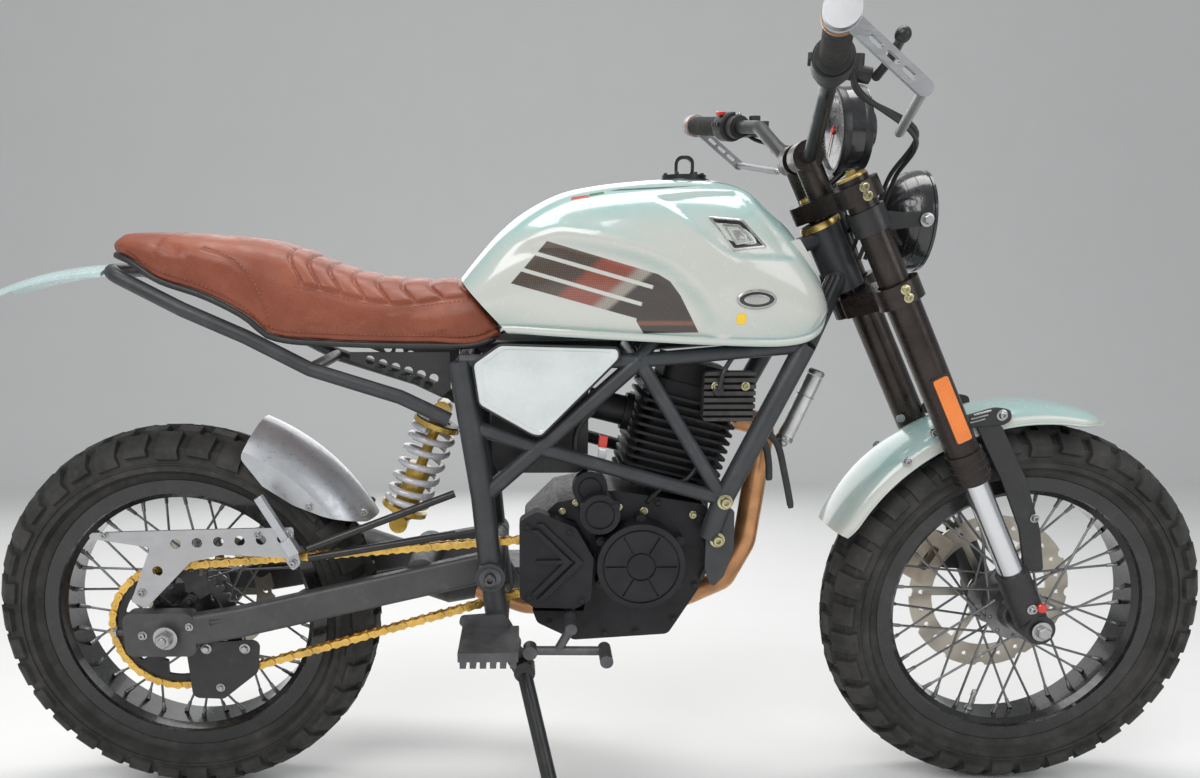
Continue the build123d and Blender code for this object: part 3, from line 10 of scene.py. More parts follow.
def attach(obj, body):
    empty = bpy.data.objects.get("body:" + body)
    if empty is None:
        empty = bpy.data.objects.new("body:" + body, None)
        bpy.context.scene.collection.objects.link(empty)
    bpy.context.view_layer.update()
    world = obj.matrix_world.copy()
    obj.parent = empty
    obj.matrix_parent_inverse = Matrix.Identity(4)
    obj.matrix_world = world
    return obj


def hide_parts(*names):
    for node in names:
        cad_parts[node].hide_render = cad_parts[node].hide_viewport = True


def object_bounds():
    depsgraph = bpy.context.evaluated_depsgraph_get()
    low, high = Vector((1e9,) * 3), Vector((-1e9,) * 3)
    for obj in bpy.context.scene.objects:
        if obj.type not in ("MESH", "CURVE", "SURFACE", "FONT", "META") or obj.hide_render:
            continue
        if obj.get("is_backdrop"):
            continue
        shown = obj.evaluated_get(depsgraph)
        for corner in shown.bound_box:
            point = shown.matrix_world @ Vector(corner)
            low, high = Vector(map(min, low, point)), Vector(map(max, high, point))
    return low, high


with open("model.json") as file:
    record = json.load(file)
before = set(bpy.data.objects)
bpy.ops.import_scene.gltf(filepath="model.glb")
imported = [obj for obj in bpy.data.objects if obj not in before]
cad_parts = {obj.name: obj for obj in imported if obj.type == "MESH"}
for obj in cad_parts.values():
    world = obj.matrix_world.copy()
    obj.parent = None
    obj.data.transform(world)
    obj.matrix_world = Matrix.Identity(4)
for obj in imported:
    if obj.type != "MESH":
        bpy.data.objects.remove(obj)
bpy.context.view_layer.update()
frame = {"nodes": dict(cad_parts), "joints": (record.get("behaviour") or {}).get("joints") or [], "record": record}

# The upright machine's frame, in millimetres: X forward from the rear axle, Z up, the chain at -Y.
TYRE_R = 316.0
SHOULDER_DROP = 24
BEAD_R = 214.4
WHEELBASE = 1380.0
RAKE = radians(26.6)
FORK_OFFSET = 41
FORK_Y = 93
YOKE_Z = 985
SPOKES = 36
SPOKE_LEAD = 58
PITCH = 15.875
CHAIN_Y = -85.0
REAR_TEETH = 40
DRIVE_TEETH = 15
DRIVE = Vector((600.0, 425.0))
SPROCKET_HALF = 2.8
SHOCK_LOW = Vector((352, 0, 466))
SHOCK_HIGH = Vector((428, 0, 655))
PIVOT = Vector((508, 0, 414))
GENERATOR = Vector((741, 0, 429))
CLUTCH = Vector((690, 0, 420))
CLUTCH_FRONT = Vector((770, 0, 430))
FUEL_CAP = Vector((806, 0, 1003))
COVER_Y = 128.0
LAMP_Z = 947
FLANKS = (("left", -1), ("right", 1))

rear_joint = next(j for j in frame["joints"] if j["name"] == "rear_wheel_spin")
LEAN = atan2(rear_joint["axis"][2], rear_joint["axis"][1])
TURN = Matrix.Rotation(LEAN, 4, "X")
SHIFT = Vector(rear_joint["pos_m"]) - TURN @ Vector((0, 0, TYRE_R / 1000))
BIKE = Matrix.Translation(SHIFT) @ TURN @ Matrix.Scale(0.001, 4)


# Shapes

def turned(axis):
    """Two unit vectors across an axis."""
    axis = axis.normalized()
    side = Vector((0, 1, 0)) if abs(axis.y) < 0.9 else Vector((1, 0, 0))
    u = axis.cross(side).normalized()
    return u, axis.cross(u)


def smooth(points, per=8):
    """A smooth path through the points."""
    pts = [Vector(p) for p in points]
    pts = [2 * pts[0] - pts[1]] + pts + [2 * pts[-1] - pts[-2]]
    out = []
    for a, b, c, d in zip(pts, pts[1:], pts[2:], pts[3:]):
        for k in range(per):
            t = k / per
            square, cube = 2 * a - 5 * b + 4 * c - d, 3 * b - a - 3 * c + d
            out.append(0.5 * (2 * b + (c - a) * t + square * t * t + cube * t ** 3))
    return out + [pts[-2]]


def curve(table, x):
    """A smooth value at x through a table of (x, value)."""
    if x <= table[0][0]:
        return table[0][1]
    for k in range(len(table) - 1):
        (x0, v0), (x1, v1) = table[k], table[k + 1]
        if x <= x1:
            va = table[k - 1] if k else (2 * x0 - x1, 2 * v0 - v1)
            vb = table[k + 2] if k + 2 < len(table) else (2 * x1 - x0, 2 * v1 - v0)
            m0 = (v1 - va[1]) / (x1 - va[0]) * (x1 - x0)
            m1 = (vb[1] - v0) / (vb[0] - x0) * (x1 - x0)
            t = (x - x0) / (x1 - x0)
            start = (2 * t ** 3 - 3 * t * t + 1) * v0 + (t ** 3 - 2 * t * t + t) * m0
            return start + (3 * t * t - 2 * t ** 3) * v1 + (t ** 3 - t * t) * m1
    return table[-1][1]


def ease(value, low, high):
    """0 below low, 1 above high, and a smooth step between."""
    t = min(1.0, max(0.0, (value - low) / (high - low)))
    return t * t * (3 - 2 * t)


class Shape:
    """Points in the upright machine's millimetres, and the faces between them."""

    def __init__(self):
        self.points, self.faces = [], []

    def put(self, points, faces):
        first = len(self.points)
        self.points += [Vector(p) for p in points]
        self.faces += [tuple(first + i for i in face) for face in faces]
        return self

    def loft(self, rings, caps=True, round_on=False):
        """A skin over closed rings; round_on joins the last ring to the first."""
        n, m = len(rings[0]), len(rings)
        faces = []
        for k in range(m if round_on else m - 1):
            for i in range(n):
                j, q = (i + 1) % n, (k + 1) % m
                faces.append((k * n + i, k * n + j, q * n + j, q * n + i))
        if caps and not round_on:
            faces += [tuple(reversed(range(n))), tuple(range((m - 1) * n, m * n))]
        return self.put([p for ring in rings for p in ring], faces)

    def prism(self, outline, y0, y1):
        """A flat outline of (x, z) from y0 to y1."""
        return self.loft([[(x, y, z) for x, z in outline] for y in (y0, y1)])

    def slab(self, corners, depth):
        """A flat outline of points, pushed along a vector."""
        corners = [Vector(p) for p in corners]
        return self.loft([corners, [p + Vector(depth) for p in corners]])

    def lathe(self, origin, axis, profile, steps, loop=False):
        """A profile of (along, radius) turned about an axis; loop closes the profile on itself."""
        origin, axis = Vector(origin), Vector(axis).normalized()
        u, v = turned(axis)
        rings = []
        for along, radius in profile:
            ring = []
            for k in range(steps):
                a = 2 * pi * k / steps
                ring.append(origin + axis * along + (u * cos(a) + v * sin(a)) * max(radius, 1e-4))
            rings.append(ring)
        return self.loft(rings, caps=not loop, round_on=loop)

    def tube(self, path, radius, steps, squash=1.0):
        """A tube along a path, with one radius or one at each point, flattened by squash."""
        path = [Vector(p) for p in path]
        radii = radius if isinstance(radius, (list, tuple)) else [radius] * len(path)
        u = None
        rings = []
        for k, p in enumerate(path):
            way = (path[min(k + 1, len(path) - 1)] - path[max(k - 1, 0)]).normalized()
            u = turned(way)[0] if u is None else (u - way * u.dot(way)).normalized()
            v = way.cross(u)
            rings.append([
                p + (u * cos(a) + v * sin(a) * squash) * radii[k]
                for a in (2 * pi * i / steps for i in range(steps))
            ])
        return self.loft(rings)

    def ring(self, centre, axis, radius, wire, steps, sides):
        """A round wire bent into a hoop."""
        around = [2 * pi * k / sides for k in range(sides)]
        return self.lathe(centre, axis, [(wire * sin(a), radius + wire * cos(a)) for a in around], steps, loop=True)

    def bolt(self, origin, axis, r, kind="hex", washer=True):
        """A bolt head standing on a face: hex, or a round cap with a socket."""
        origin, axis = Vector(origin), Vector(axis).normalized()
        u, v = turned(axis)
        if washer:
            self.lathe(origin, axis, [(0, r * 1.45), (1.2, r * 1.45), (1.6, r * 1.3), (1.6, 0)], 20)
        if kind == "hex":
            corners = [u * cos(k * pi / 3) + v * sin(k * pi / 3) for k in range(6)]
            levels = ((0.8, r), (r * 0.95, r), (r * 1.1, r * 0.86))
            return self.loft([[origin + axis * along + c * radius for c in corners] for along, radius in levels])
        return self.lathe(
            origin, axis,
            [(0.8, r), (r * 1.1, r), (r * 1.3, r * 0.85), (r * 1.3, r * 0.5), (r * 0.6, r * 0.45), (r * 0.6, 0)], 18
        )


def mesh_of(name, shape):
    """The shape as a mesh in the frame's metres, with doubled points merged and its faces turned outwards."""
    mesh = bpy.data.meshes.new(name)
    mesh.from_pydata([BIKE @ p for p in shape.points], [], shape.faces)
    bm = bmesh.new()
    bm.from_mesh(mesh)
    bmesh.ops.remove_doubles(bm, verts=bm.verts, dist=2e-6)
    bmesh.ops.recalc_face_normals(bm, faces=bm.faces)
    bm.to_mesh(mesh)
    bm.free()
    return mesh


def linked(name, data):
    """A new object in the scene."""
    obj = bpy.data.objects.new(name, data)
    bpy.context.scene.collection.objects.link(obj)
    return obj


def place(name, mesh, material, body, slot=None, replaces=(), bevel=0.0, angle=38):
    """A piece on a body, with its material; the slot argument is not used."""
    obj = linked(name, mesh)
    mesh.materials.clear()
    mesh.materials.append(MAT[material])
    mesh.shade_smooth()
    if angle < 180:
        mesh.set_sharp_from_angle(angle=radians(angle))
    if bevel:
        mod = obj.modifiers.new("edges", "BEVEL")
        mod.width = bevel / 1000
        mod.segments = 2
        mod.limit_method = "ANGLE"
        mod.angle_limit = radians(35)
        mod.harden_normals = False
    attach(obj, body)
    if replaces:
        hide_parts(*replaces)
    return obj


def make(name, shape, material, body, **options):
    return place(name, mesh_of(name, shape), material, body, **options)


# Materials

DUST = (0.36, 0.33, 0.29)
EDGE_SOFT = 0.6


class Nodes:
    """A material's node tree, with its coordinates in the upright machine's millimetres."""

    def __init__(self, name, rough, metal=0.0, coat=0.0, specular=0.5):
        self.mat = bpy.data.materials.new(name)
        self.mat.use_nodes = True
        self.tree = self.mat.node_tree
        self.shader = self.tree.nodes["Principled BSDF"]
        self.shader.inputs["Roughness"].default_value = rough
        self.shader.inputs["Metallic"].default_value = metal
        self.shader.inputs["Coat Weight"].default_value = coat
        self.shader.inputs["Coat Roughness"].default_value = 0.06
        self.shader.inputs["Specular IOR Level"].default_value = specular
        place_at = self.tree.nodes.new("ShaderNodeTexCoord").outputs["Object"]
        self.at = self.math_vector("SUBTRACT", place_at, tuple(SHIFT))
        spin = self.new("ShaderNodeVectorRotate", rotation_type="X_AXIS")
        self.link(self.at, spin.inputs["Vector"])
        spin.inputs["Angle"].default_value = -LEAN
        self.at = self.math_vector("SCALE", spin.outputs[0], 1000.0)

    def new(self, kind, **settings):
        node = self.tree.nodes.new(kind)
        for key, value in settings.items():
            setattr(node, key, value)
        return node

    def link(self, a, b):
        self.tree.links.new(a, b)

    def fill(self, socket, value):
        if isinstance(value, bpy.types.NodeSocket):
            self.link(value, socket)
        else:
            socket.default_value = value

    def math_vector(self, op, a, b):
        node = self.new("ShaderNodeVectorMath", operation=op)
        self.fill(node.inputs[0], a)
        self.fill(node.inputs["Scale"] if op == "SCALE" else node.inputs[1], b)
        return node.outputs["Value"] if op == "DOT_PRODUCT" else node.outputs["Vector"]

    def math(self, op, a, b=0.0):
        node = self.new("ShaderNodeMath", operation=op)
        for socket, value in zip(node.inputs, (a, b)):
            self.fill(socket, value)
        return node.outputs[0]

    def noise(self, size, detail=3.0, rough=0.55, stretch=None):
        """Noise whose features are about size millimetres across."""
        at = self.math_vector("MULTIPLY", self.at, stretch) if stretch else self.at
        node = self.new("ShaderNodeTexNoise")
        self.link(at, node.inputs["Vector"])
        node.inputs["Scale"].default_value = 1.0 / size
        node.inputs["Detail"].default_value = detail
        node.inputs["Roughness"].default_value = rough
        return node.outputs["Fac"]

    def cells(self, size):
        node = self.new("ShaderNodeTexVoronoi")
        self.link(self.at, node.inputs["Vector"])
        node.inputs["Scale"].default_value = 1.0 / size
        return node.outputs["Distance"]

    def mix(self, fac, a, b):
        node = self.new("ShaderNodeMix", data_type="RGBA")
        self.fill(node.inputs[0], fac)
        self.fill(node.inputs[6], a if isinstance(a, bpy.types.NodeSocket) else (*a, 1.0))
        self.fill(node.inputs[7], b if isinstance(b, bpy.types.NodeSocket) else (*b, 1.0))
        return node.outputs[2]

    def span(self, value, low, high, to_low=0.0, to_high=1.0):
        node = self.new("ShaderNodeMapRange", interpolation_type="SMOOTHSTEP")
        self.link(value, node.inputs[0])
        for k, v in enumerate((low, high, to_low, to_high)):
            node.inputs[k + 1].default_value = v
        return node.outputs[0]

    def color(self, value):
        self.fill(self.shader.inputs["Base Color"], value if isinstance(value, bpy.types.NodeSocket) else (*value, 1.0))

    def rough(self, value):
        self.fill(self.shader.inputs["Roughness"], value)

    def bump(self, height, distance, strength):
        node = self.new("ShaderNodeBump")
        node.inputs["Strength"].default_value = strength
        node.inputs["Distance"].default_value = distance / 1000
        self.link(height, node.inputs["Height"])
        self.link(node.outputs[0], self.shader.inputs["Normal"])

    def inside(self, corners):
        """1 inside a convex outline of (x, z), going round either way, and 0 outside."""
        cx = sum(p[0] for p in corners) / len(corners)
        cz = sum(p[1] for p in corners) / len(corners)
        result = None
        for (x0, z0), (x1, z1) in zip(corners, corners[1:] + corners[:1]):
            n = Vector((z1 - z0, x0 - x1)).normalized()
            d = n.x * x0 + n.y * z0
            if n.x * cx + n.y * cz < d:
                n, d = -n, -d
            dot = self.math_vector("DOT_PRODUCT", self.at, (n.x, 0.0, n.y))
            edge = self.math("SUBTRACT", dot, d)
            result = edge if result is None else self.math("MINIMUM", result, edge)
        return self.span(result, -EDGE_SOFT, EDGE_SOFT)


MAT = {}


def shade(color, amount):
    return tuple(min(1.0, c * amount) for c in color)


def paint(name, color, rough, metal=0.0, coat=0.0, vary=0.12, grain=0.9, bump=0.12, dust=0.0, specular=0.5):
    """A painted, cast or moulded surface: uneven tone, fine grain, and dust in a few patches."""
    m = Nodes(name, rough, metal, coat, specular)
    broad = m.span(m.noise(46.0, 4.0), 0.3, 0.7)
    tone = m.mix(broad, shade(color, 1 - vary), shade(color, 1 + vary))
    if dust:
        patch = m.span(m.noise(30.0, 6.0, 0.7), 0.5, 0.75, 0.0, dust)
        tone = m.mix(patch, tone, DUST)
    m.color(tone)
    m.rough(m.span(m.noise(9.0, 3.0), 0.25, 0.75, max(0.03, rough - 0.07), min(1.0, rough + 0.09)))
    m.bump(m.noise(grain, 2.0), bump, 0.35)
    MAT[name] = m.mat


def brushed(name, color, rough, stretch=(0.06, 1.0, 1.0), vary=0.12):
    """A brushed or polished metal, its lines drawn out along one axis."""
    m = Nodes(name, rough, 1.0)
    lines = m.noise(1.1, 2.0, stretch=stretch)
    m.color(m.mix(m.noise(30.0), shade(color, 1 - vary), shade(color, 1 + vary)))
    m.rough(m.span(lines, 0.2, 0.8, rough - 0.08, rough + 0.12))
    m.bump(lines, 0.05, 0.4)
    MAT[name] = m.mat


paint("frame_paint", (0.031, 0.034, 0.038), 0.42, vary=0.16, grain=1.6, bump=0.10, dust=0.06)
paint("swingarm_paint", (0.050, 0.050, 0.052), 0.46, vary=0.12, grain=1.4, dust=0.10)
paint("shock_paint", (0.55, 0.36, 0.06), 0.3, 0.4, coat=0.5)
paint("spring_paint", (0.52, 0.52, 0.55), 0.28, 0.1, coat=0.4, vary=0.08, dust=0.12)
paint("engine_black", (0.014, 0.014, 0.016), 0.46, vary=0.25, grain=1.1, bump=0.08, specular=0.28)
paint("copper_pipe", (0.52, 0.26, 0.12), 0.34, 0.75, vary=0.22, grain=2.0, bump=0.06, dust=0.12)
paint("muffler_black", (0.022, 0.022, 0.023), 0.5, vary=0.2, dust=0.06)
paint("fin_grey", (0.045, 0.043, 0.042), 0.55, 0.3, vary=0.25, dust=0.12)
paint("bright_alloy", (0.62, 0.62, 0.61), 0.34, 0.9, vary=0.14, grain=1.4, dust=0.10)
paint("black_plastic", (0.020, 0.020, 0.021), 0.48, vary=0.15, grain=0.7, bump=0.12, dust=0.04)
paint("cast_alloy", (0.10, 0.10, 0.105), 0.5, 0.6, vary=0.2, grain=1.2, bump=0.3, dust=0.2)
paint("black_metal", (0.018, 0.018, 0.019), 0.34, 0.1, vary=0.18, grain=1.0, dust=0.04)
paint("white_panel", (0.60, 0.63, 0.63), 0.22, coat=0.7, vary=0.05, grain=2.2, bump=0.04, dust=0.03)
paint("mint_plastic", (0.47, 0.60, 0.60), 0.24, coat=0.6, vary=0.06, grain=2.4, bump=0.04, dust=0.04)
paint("gold_chain", (0.66, 0.42, 0.11), 0.32, 0.9, vary=0.2, grain=1.0, dust=0.05)
brushed("guard_alloy", (0.42, 0.42, 0.43), 0.36)
paint("silver_plastic", (0.42, 0.43, 0.45), 0.32, 0.55, coat=0.4, vary=0.06, grain=1.2, bump=0.04)
paint("fork_bronze", (0.036, 0.028, 0.025), 0.28, 0.6, vary=0.2, grain=1.5, bump=0.05, dust=0.03)
brushed("chrome", (0.66, 0.67, 0.69), 0.16, (1.0, 1.0, 0.08), 0.05)
paint("cast_black", (0.026, 0.026, 0.028), 0.44, 0.2, vary=0.2, grain=1.2, bump=0.25, dust=0.06)
paint("grip_rubber", (0.022, 0.021, 0.020), 0.72, vary=0.2, grain=1.0, bump=0.3, dust=0.06)
paint("gauge_black", (0.016, 0.016, 0.018), 0.2, coat=0.5, vary=0.1)
paint("brake_tan", (0.42, 0.36, 0.29), 0.42, 0.7, vary=0.15, grain=1.2, bump=0.2, dust=0.2)
paint("rim_black", (0.012, 0.012, 0.013), 0.22, 0.2, coat=0.4, vary=0.2, dust=0.05)
paint("spoke_steel", (0.20, 0.20, 0.205), 0.32, 0.9, vary=0.2, dust=0.06)
brushed("disc_steel", (0.46, 0.42, 0.36), 0.32, (1.0, 1.0, 1.0))
paint("sprocket_black", (0.030, 0.030, 0.031), 0.4, 0.5, vary=0.2, dust=0.08)
paint("brass_bolt", (0.50, 0.46, 0.28), 0.30, 0.9, vary=0.25, grain=1.0, dust=0.15)
paint("steel_bolt", (0.40, 0.40, 0.40), 0.30, 0.9, vary=0.2, grain=1.0, dust=0.1)
paint("hose", (0.016, 0.016, 0.016), 0.5, vary=0.2, grain=0.8, bump=0.15)
paint("gold_ring", (0.60, 0.42, 0.14), 0.28, 0.9, vary=0.2, dust=0.1)
paint("orange_lens", (0.80, 0.20, 0.02), 0.18, coat=0.6, vary=0.1, grain=2.0, bump=0.2)
paint("red_lens", (0.55, 0.02, 0.01), 0.18, coat=0.6, vary=0.1)
paint("steel_dark", (0.10, 0.10, 0.105), 0.32, 0.8, vary=0.2, dust=0.06)
paint("badge_silver", (0.46, 0.46, 0.44), 0.30, 0.9, vary=0.12, grain=1.0, dust=0.05)
paint("thread", (0.30, 0.12, 0.07), 0.6, vary=0.2, grain=0.5)
paint("hose_rubber", (0.015, 0.015, 0.015), 0.5, vary=0.2, grain=0.8, bump=0.15)
paint("yellow_dot", (0.85, 0.55, 0.01), 0.3, coat=0.5, vary=0.05)


def rubber():
    """Dusty tyre rubber with a fine moulded grain."""
    m = Nodes("tyre_rubber", 0.72, specular=0.3)
    broad = m.span(m.noise(60.0, 5.0, 0.65), 0.35, 0.7)
    tone = m.mix(broad, (0.022, 0.022, 0.021), (0.046, 0.044, 0.041))
    m.color(m.mix(m.span(m.noise(14.0, 6.0, 0.7), 0.52, 0.78, 0.0, 0.35), tone, (0.11, 0.10, 0.085)))
    m.rough(m.span(m.noise(20.0, 4.0), 0.3, 0.7, 0.56, 0.80))
    m.bump(m.noise(1.6, 4.0, 0.6), 0.5, 0.4)
    return m.mat


def leather():
    """Rust-brown upholstery leather: pebbled grain, with painted shade darkening the creases."""
    m = Nodes("seat_leather", 0.42, specular=0.4)
    broad = m.span(m.noise(80.0, 5.0, 0.6), 0.3, 0.7)
    tone = m.mix(broad, (0.205, 0.050, 0.024), (0.285, 0.078, 0.038))
    pebble_and_crease_shade = m.cells(2.2)
    # Painted shade: the colour darkens towards the cell edges, where the bump sinks into the grain's creases.
    m.color(m.mix(m.span(pebble_and_crease_shade, 0.35, 0.75, 0.0, 0.30), tone, (0.130, 0.032, 0.016)))
    m.rough(m.span(m.noise(24.0, 3.0), 0.3, 0.7, 0.36, 0.52))
    height = m.math("ADD", m.math("MULTIPLY", pebble_and_crease_shade, -0.6), m.math("MULTIPLY", m.noise(0.9, 3.0), 0.4))
    m.bump(height, 0.25, 0.35)
    return m.mat


def glass(name, color):
    m = Nodes(name, 0.02)
    m.shader.inputs["Transmission Weight"].default_value = 1.0
    m.shader.inputs["IOR"].default_value = 1.45
    m.color(m.mix(m.noise(40.0), shade(color, 0.97), color))
    return m.mat


def pearl(with_marks):
    """Pearl paint with a painted sheen set by which way the surface faces: warm white on the flanks and a darker mint
    painted on up-facing tops, with carbon-look slanted stripes on the tank.
    """
    m = Nodes("tank_pearl" if with_marks else "pearl_plain", 0.22, coat=0.9)
    normal = m.new("ShaderNodeNewGeometry").outputs["Normal"]
    # Painted sheen: the colour turns from warm white to a darker mint as the surface faces up.
    up_facing_sheen = m.math("ABSOLUTE", m.math_vector("DOT_PRODUCT", normal, tuple(TURN.to_3x3() @ Vector((0, 0, 1)))))
    tone = m.mix(m.span(up_facing_sheen, 0.12, 0.80), (0.535, 0.545, 0.505), (0.270, 0.430, 0.410))
    tone = m.mix(m.span(m.noise(70.0, 3.0), 0.35, 0.65, 0.0, 0.18), tone, (0.56, 0.53, 0.49))
    if with_marks:
        waves = [
            m.math("SINE", m.math("MULTIPLY", m.math_vector("DOT_PRODUCT", m.at, (1.0, 0.0, lean)), 1.15))
            for lean in (1.3, -1.0)
        ]
        weave = m.span(m.math("MULTIPLY", *waves), -0.4, 0.4)
        carbon = m.mix(weave, (0.030, 0.022, 0.018), (0.110, 0.075, 0.055))
        warm = m.mix(weave, (0.160, 0.035, 0.022), (0.300, 0.085, 0.052))
        beige = m.mix(weave, (0.220, 0.190, 0.160), (0.340, 0.300, 0.260))
        dark = m.mix(weave, (0.010, 0.008, 0.007), (0.045, 0.028, 0.020))
        along = m.math_vector("DOT_PRODUCT", m.at, (0.647, 0.0, -0.763))
        up = m.math_vector("DOT_PRODUCT", m.at, (0.0, 0.0, 1.0))
        ink = m.mix(m.span(along, -252.0, -240.0), carbon, warm)
        ink = m.mix(m.span(along, -208.0, -196.0), ink, beige)
        ink = m.mix(m.span(along, -189.0, -181.0), ink, dark)
        # Painted highlight: a thin warm band at a fixed height across the dark stripe.
        glow = m.math("MULTIPLY", m.span(up, 796.0, 801.0), m.span(up, 807.0, 802.0))
        ink = m.mix(m.math("MULTIPLY", glow, m.span(along, -190.0, -180.0, 0.0, 0.5)), ink, (0.32, 0.10, 0.03))
        stripes = m.inside([(595, 917), (753, 871), (770, 861), (740, 804.2), (543, 858)])
        stripes = m.math(
            "MAXIMUM", stripes,
            m.inside([(753, 871), (770, 861), (786, 841), (815, 788), (735, 787), (724, 804), (724, 830)])
        )
        for (x0, z0), (x1, z1) in (((568, 903), (745, 853)), ((546, 881), (730, 829))):
            way = Vector((x1 - x0, z1 - z0)).normalized()
            across = m.math_vector("DOT_PRODUCT", m.at, (-way.y, 0.0, way.x))
            off = m.math("ABSOLUTE", m.math("SUBTRACT", across, x0 * -way.y + z0 * way.x))
            end = m.math("SUBTRACT", m.math_vector("DOT_PRODUCT", m.at, (way.x, 0.0, way.y)), x1 * way.x + z1 * way.y)
            gap = m.math("MULTIPLY", m.span(off, 3.3, 2.2), m.span(end, 2.5, -0.5))
            stripes = m.math("MULTIPLY", stripes, m.math("SUBTRACT", 1.0, gap))
        tone = m.mix(stripes, tone, ink)
        for corners, ink_color in (
            ([(629, 974), (657, 978), (655, 982), (632, 979)], (0.42, 0.03, 0.02)),
            ([(657, 979), (678, 983), (677, 986.5), (656, 983)], (0.03, 0.16, 0.07)),
            ([(680, 983), (760, 990), (836, 993), (835, 996), (700, 990), (679, 986)], (0.03, 0.03, 0.03)),
        ):
            tone = m.mix(m.inside(corners), tone, ink_color)
    m.color(tone)
    m.rough(m.span(m.noise(12.0, 3.0), 0.3, 0.7, 0.18, 0.28))
    m.bump(m.noise(2.4, 2.0), 0.03, 0.3)
    return m.mat


MAT["tyre_rubber"] = rubber()
MAT["seat_leather"] = leather()
MAT["pearl_paint"] = pearl(True)
MAT["pearl_plain"] = pearl(False)
MAT["lamp_glass"] = glass("lamp_glass", (0.93, 0.95, 0.97))
brushed("mirror", (0.80, 0.81, 0.83), 0.12, (1.0, 1.0, 1.0), 0.03)

slot_of = {part["node"]: part["material_slot"] for part in frame["record"]["subparts"]}
for name, node in frame["nodes"].items():
    if not node.material_slots:
        node.data.materials.append(None)
    for material_slot in node.material_slots:
        material_slot.link = "OBJECT"
        material_slot.material = MAT[slot_of[name]]


# Wheels

def tyre_parts(name, x, width, rim_width, body):
    """A block-tread tyre: the carcass, and rows of blocks that wrap over its shoulders."""
    half = width / 2
    bead = rim_width / 2 - 4.3
    axle = Vector((x, 0, TYRE_R))

    def crown(y):
        return TYRE_R - SHOULDER_DROP * (abs(y) / (half - 6)) ** 2

    profile = [(-bead, BEAD_R), (bead, BEAD_R), (bead, 232.5), (bead + 5, 233), (bead + 9, 238), (bead + 11, 243),
               (bead + 11, 245), (half - 4, 251), (half - 4.5, 262), (half - 7.5, 274), (half - 11, 288)]
    for k in range(11):
        y = (half - 13) * (1 - 2 * k / 10)
        profile.append((y, crown(y) - 10))
    profile += [(-a, r) for a, r in reversed(profile[2:11])]
    shape = Shape().lathe(axle, (0, 1, 0), profile, 120, loop=True)
    for y in (half - 3.2, 3.2 - half):
        shape.ring(axle + Vector((0, y, 0)), (0, 1, 0), 262, 1.4, 96, 6)

    def block(section, flank, start, end, shrink):
        """A section of (y, radius, whether outer) from one angle to another, its outer points drawn in."""
        rings = []
        for angle, inward in ((start, 1), (end, -1)):
            ring = []
            for y, r, top in section:
                a = angle + (inward * shrink / r if top else 0)
                ring.append((x + r * sin(a), flank * y, TYRE_R + r * cos(a)))
            rings.append(ring)
        shape.loft(rings)

    rows = 36
    step = 2 * pi / rows
    for row in range(rows):
        a = row * step
        for flank in (-1, 1):
            shift = 0.5 * step if flank > 0 else 0
            lo, hi = (2.5, 24) if row % 2 else (4, 27)
            centre = [
                (lo, crown(lo) - 10, 0), (lo + 1.2, crown(lo) - 0.6, 1),
                (hi - 1.2, crown(hi) - 0.6, 1), (hi, crown(hi) - 10, 0),
            ]
            block(centre, flank, a + shift + 0.10 * step, a + shift + 0.82 * step, 1.6)
            lo, deep = (33, 279) if row % 2 else (30, 271)
            edge = half - 5
            shoulder = [
                (lo, crown(lo) - 10, 0), (lo + 1.2, crown(lo) - 0.6, 1), (edge - 2, crown(edge - 2) - 0.8, 1),
                (edge + 3.5, crown(edge) - 5, 1), (half - 0.4, 284, 1), (half - 0.8, deep, 0),
                (half - 9, deep - 4, 0), (half - 14, 280, 0),
            ]
            block(shoulder, flank, a + shift - 0.37 * step, a + shift + 0.37 * step, 1.8)
    return make(name, shape, "tyre_rubber", body, replaces=(name,), angle=32)


tyre_parts("rear_tyre", 0.0, 132.0, 86.0, "rear_wheel").name = "rear_tyre_blocks"
tyre_parts("front_tyre", WHEELBASE, 118.0, 78.0, "front_wheel").name = "front_tyre_blocks"


def wheel_trim(name, x, body, flange_r, half):
    """Spoke nipples on the rim, elbows at the hub, and a valve."""
    shape = Shape()
    hole_r = flange_r - 6
    for spoke in range(SPOKES):
        flank = 1 if spoke % 2 else -1
        lead, outside = (SPOKE_LEAD, 5) if spoke % 4 < 2 else (-SPOKE_LEAD, 0)
        turn = 2 * pi * spoke / SPOKES
        root_turn = turn + radians(lead)
        root = Vector((x + hole_r * sin(root_turn), flank * (half + outside), TYRE_R + hole_r * cos(root_turn)))
        tip = Vector((x + 199 * sin(turn), flank * 7, TYRE_R + 199 * cos(turn)))
        way = (tip - root).normalized()
        shape.lathe(tip - way * 17, way, [(0, 2.3), (1, 3.1), (13, 3.3), (15, 4.2), (17, 4.4)], 8)
        shape.lathe(root - Vector((0, flank * 1.5, 0)), (0, flank, 0), [(-2, 3.4), (2.5, 3.4), (4.4, 1.5)], 8)
    make(name + "_nipples", shape, "spoke_steel", body)
    valve_turn = radians(-168 if x else 60)
    foot = Vector((x + 200 * sin(valve_turn), 0, TYRE_R + 200 * cos(valve_turn)))
    way = Vector((-sin(valve_turn), 0, -cos(valve_turn)))
    valve = Shape().lathe(foot + way * 1, way, [(0, 7), (4, 6), (5, 3.2), (24, 3.2), (24, 4), (34, 4), (36, 2.4)], 14)
    make(name + "_valve", valve, "steel_bolt", body, slot="spoke_steel")
    lips = Shape()
    rim_half = 39 if x else 43
    for flank in (-1, 1):
        lips.ring((x, flank * (rim_half - 2), TYRE_R), (0, 1, 0), 229, 1.8, 96, 8)
    make(name + "_rim_edges", lips, "rim_black", body)


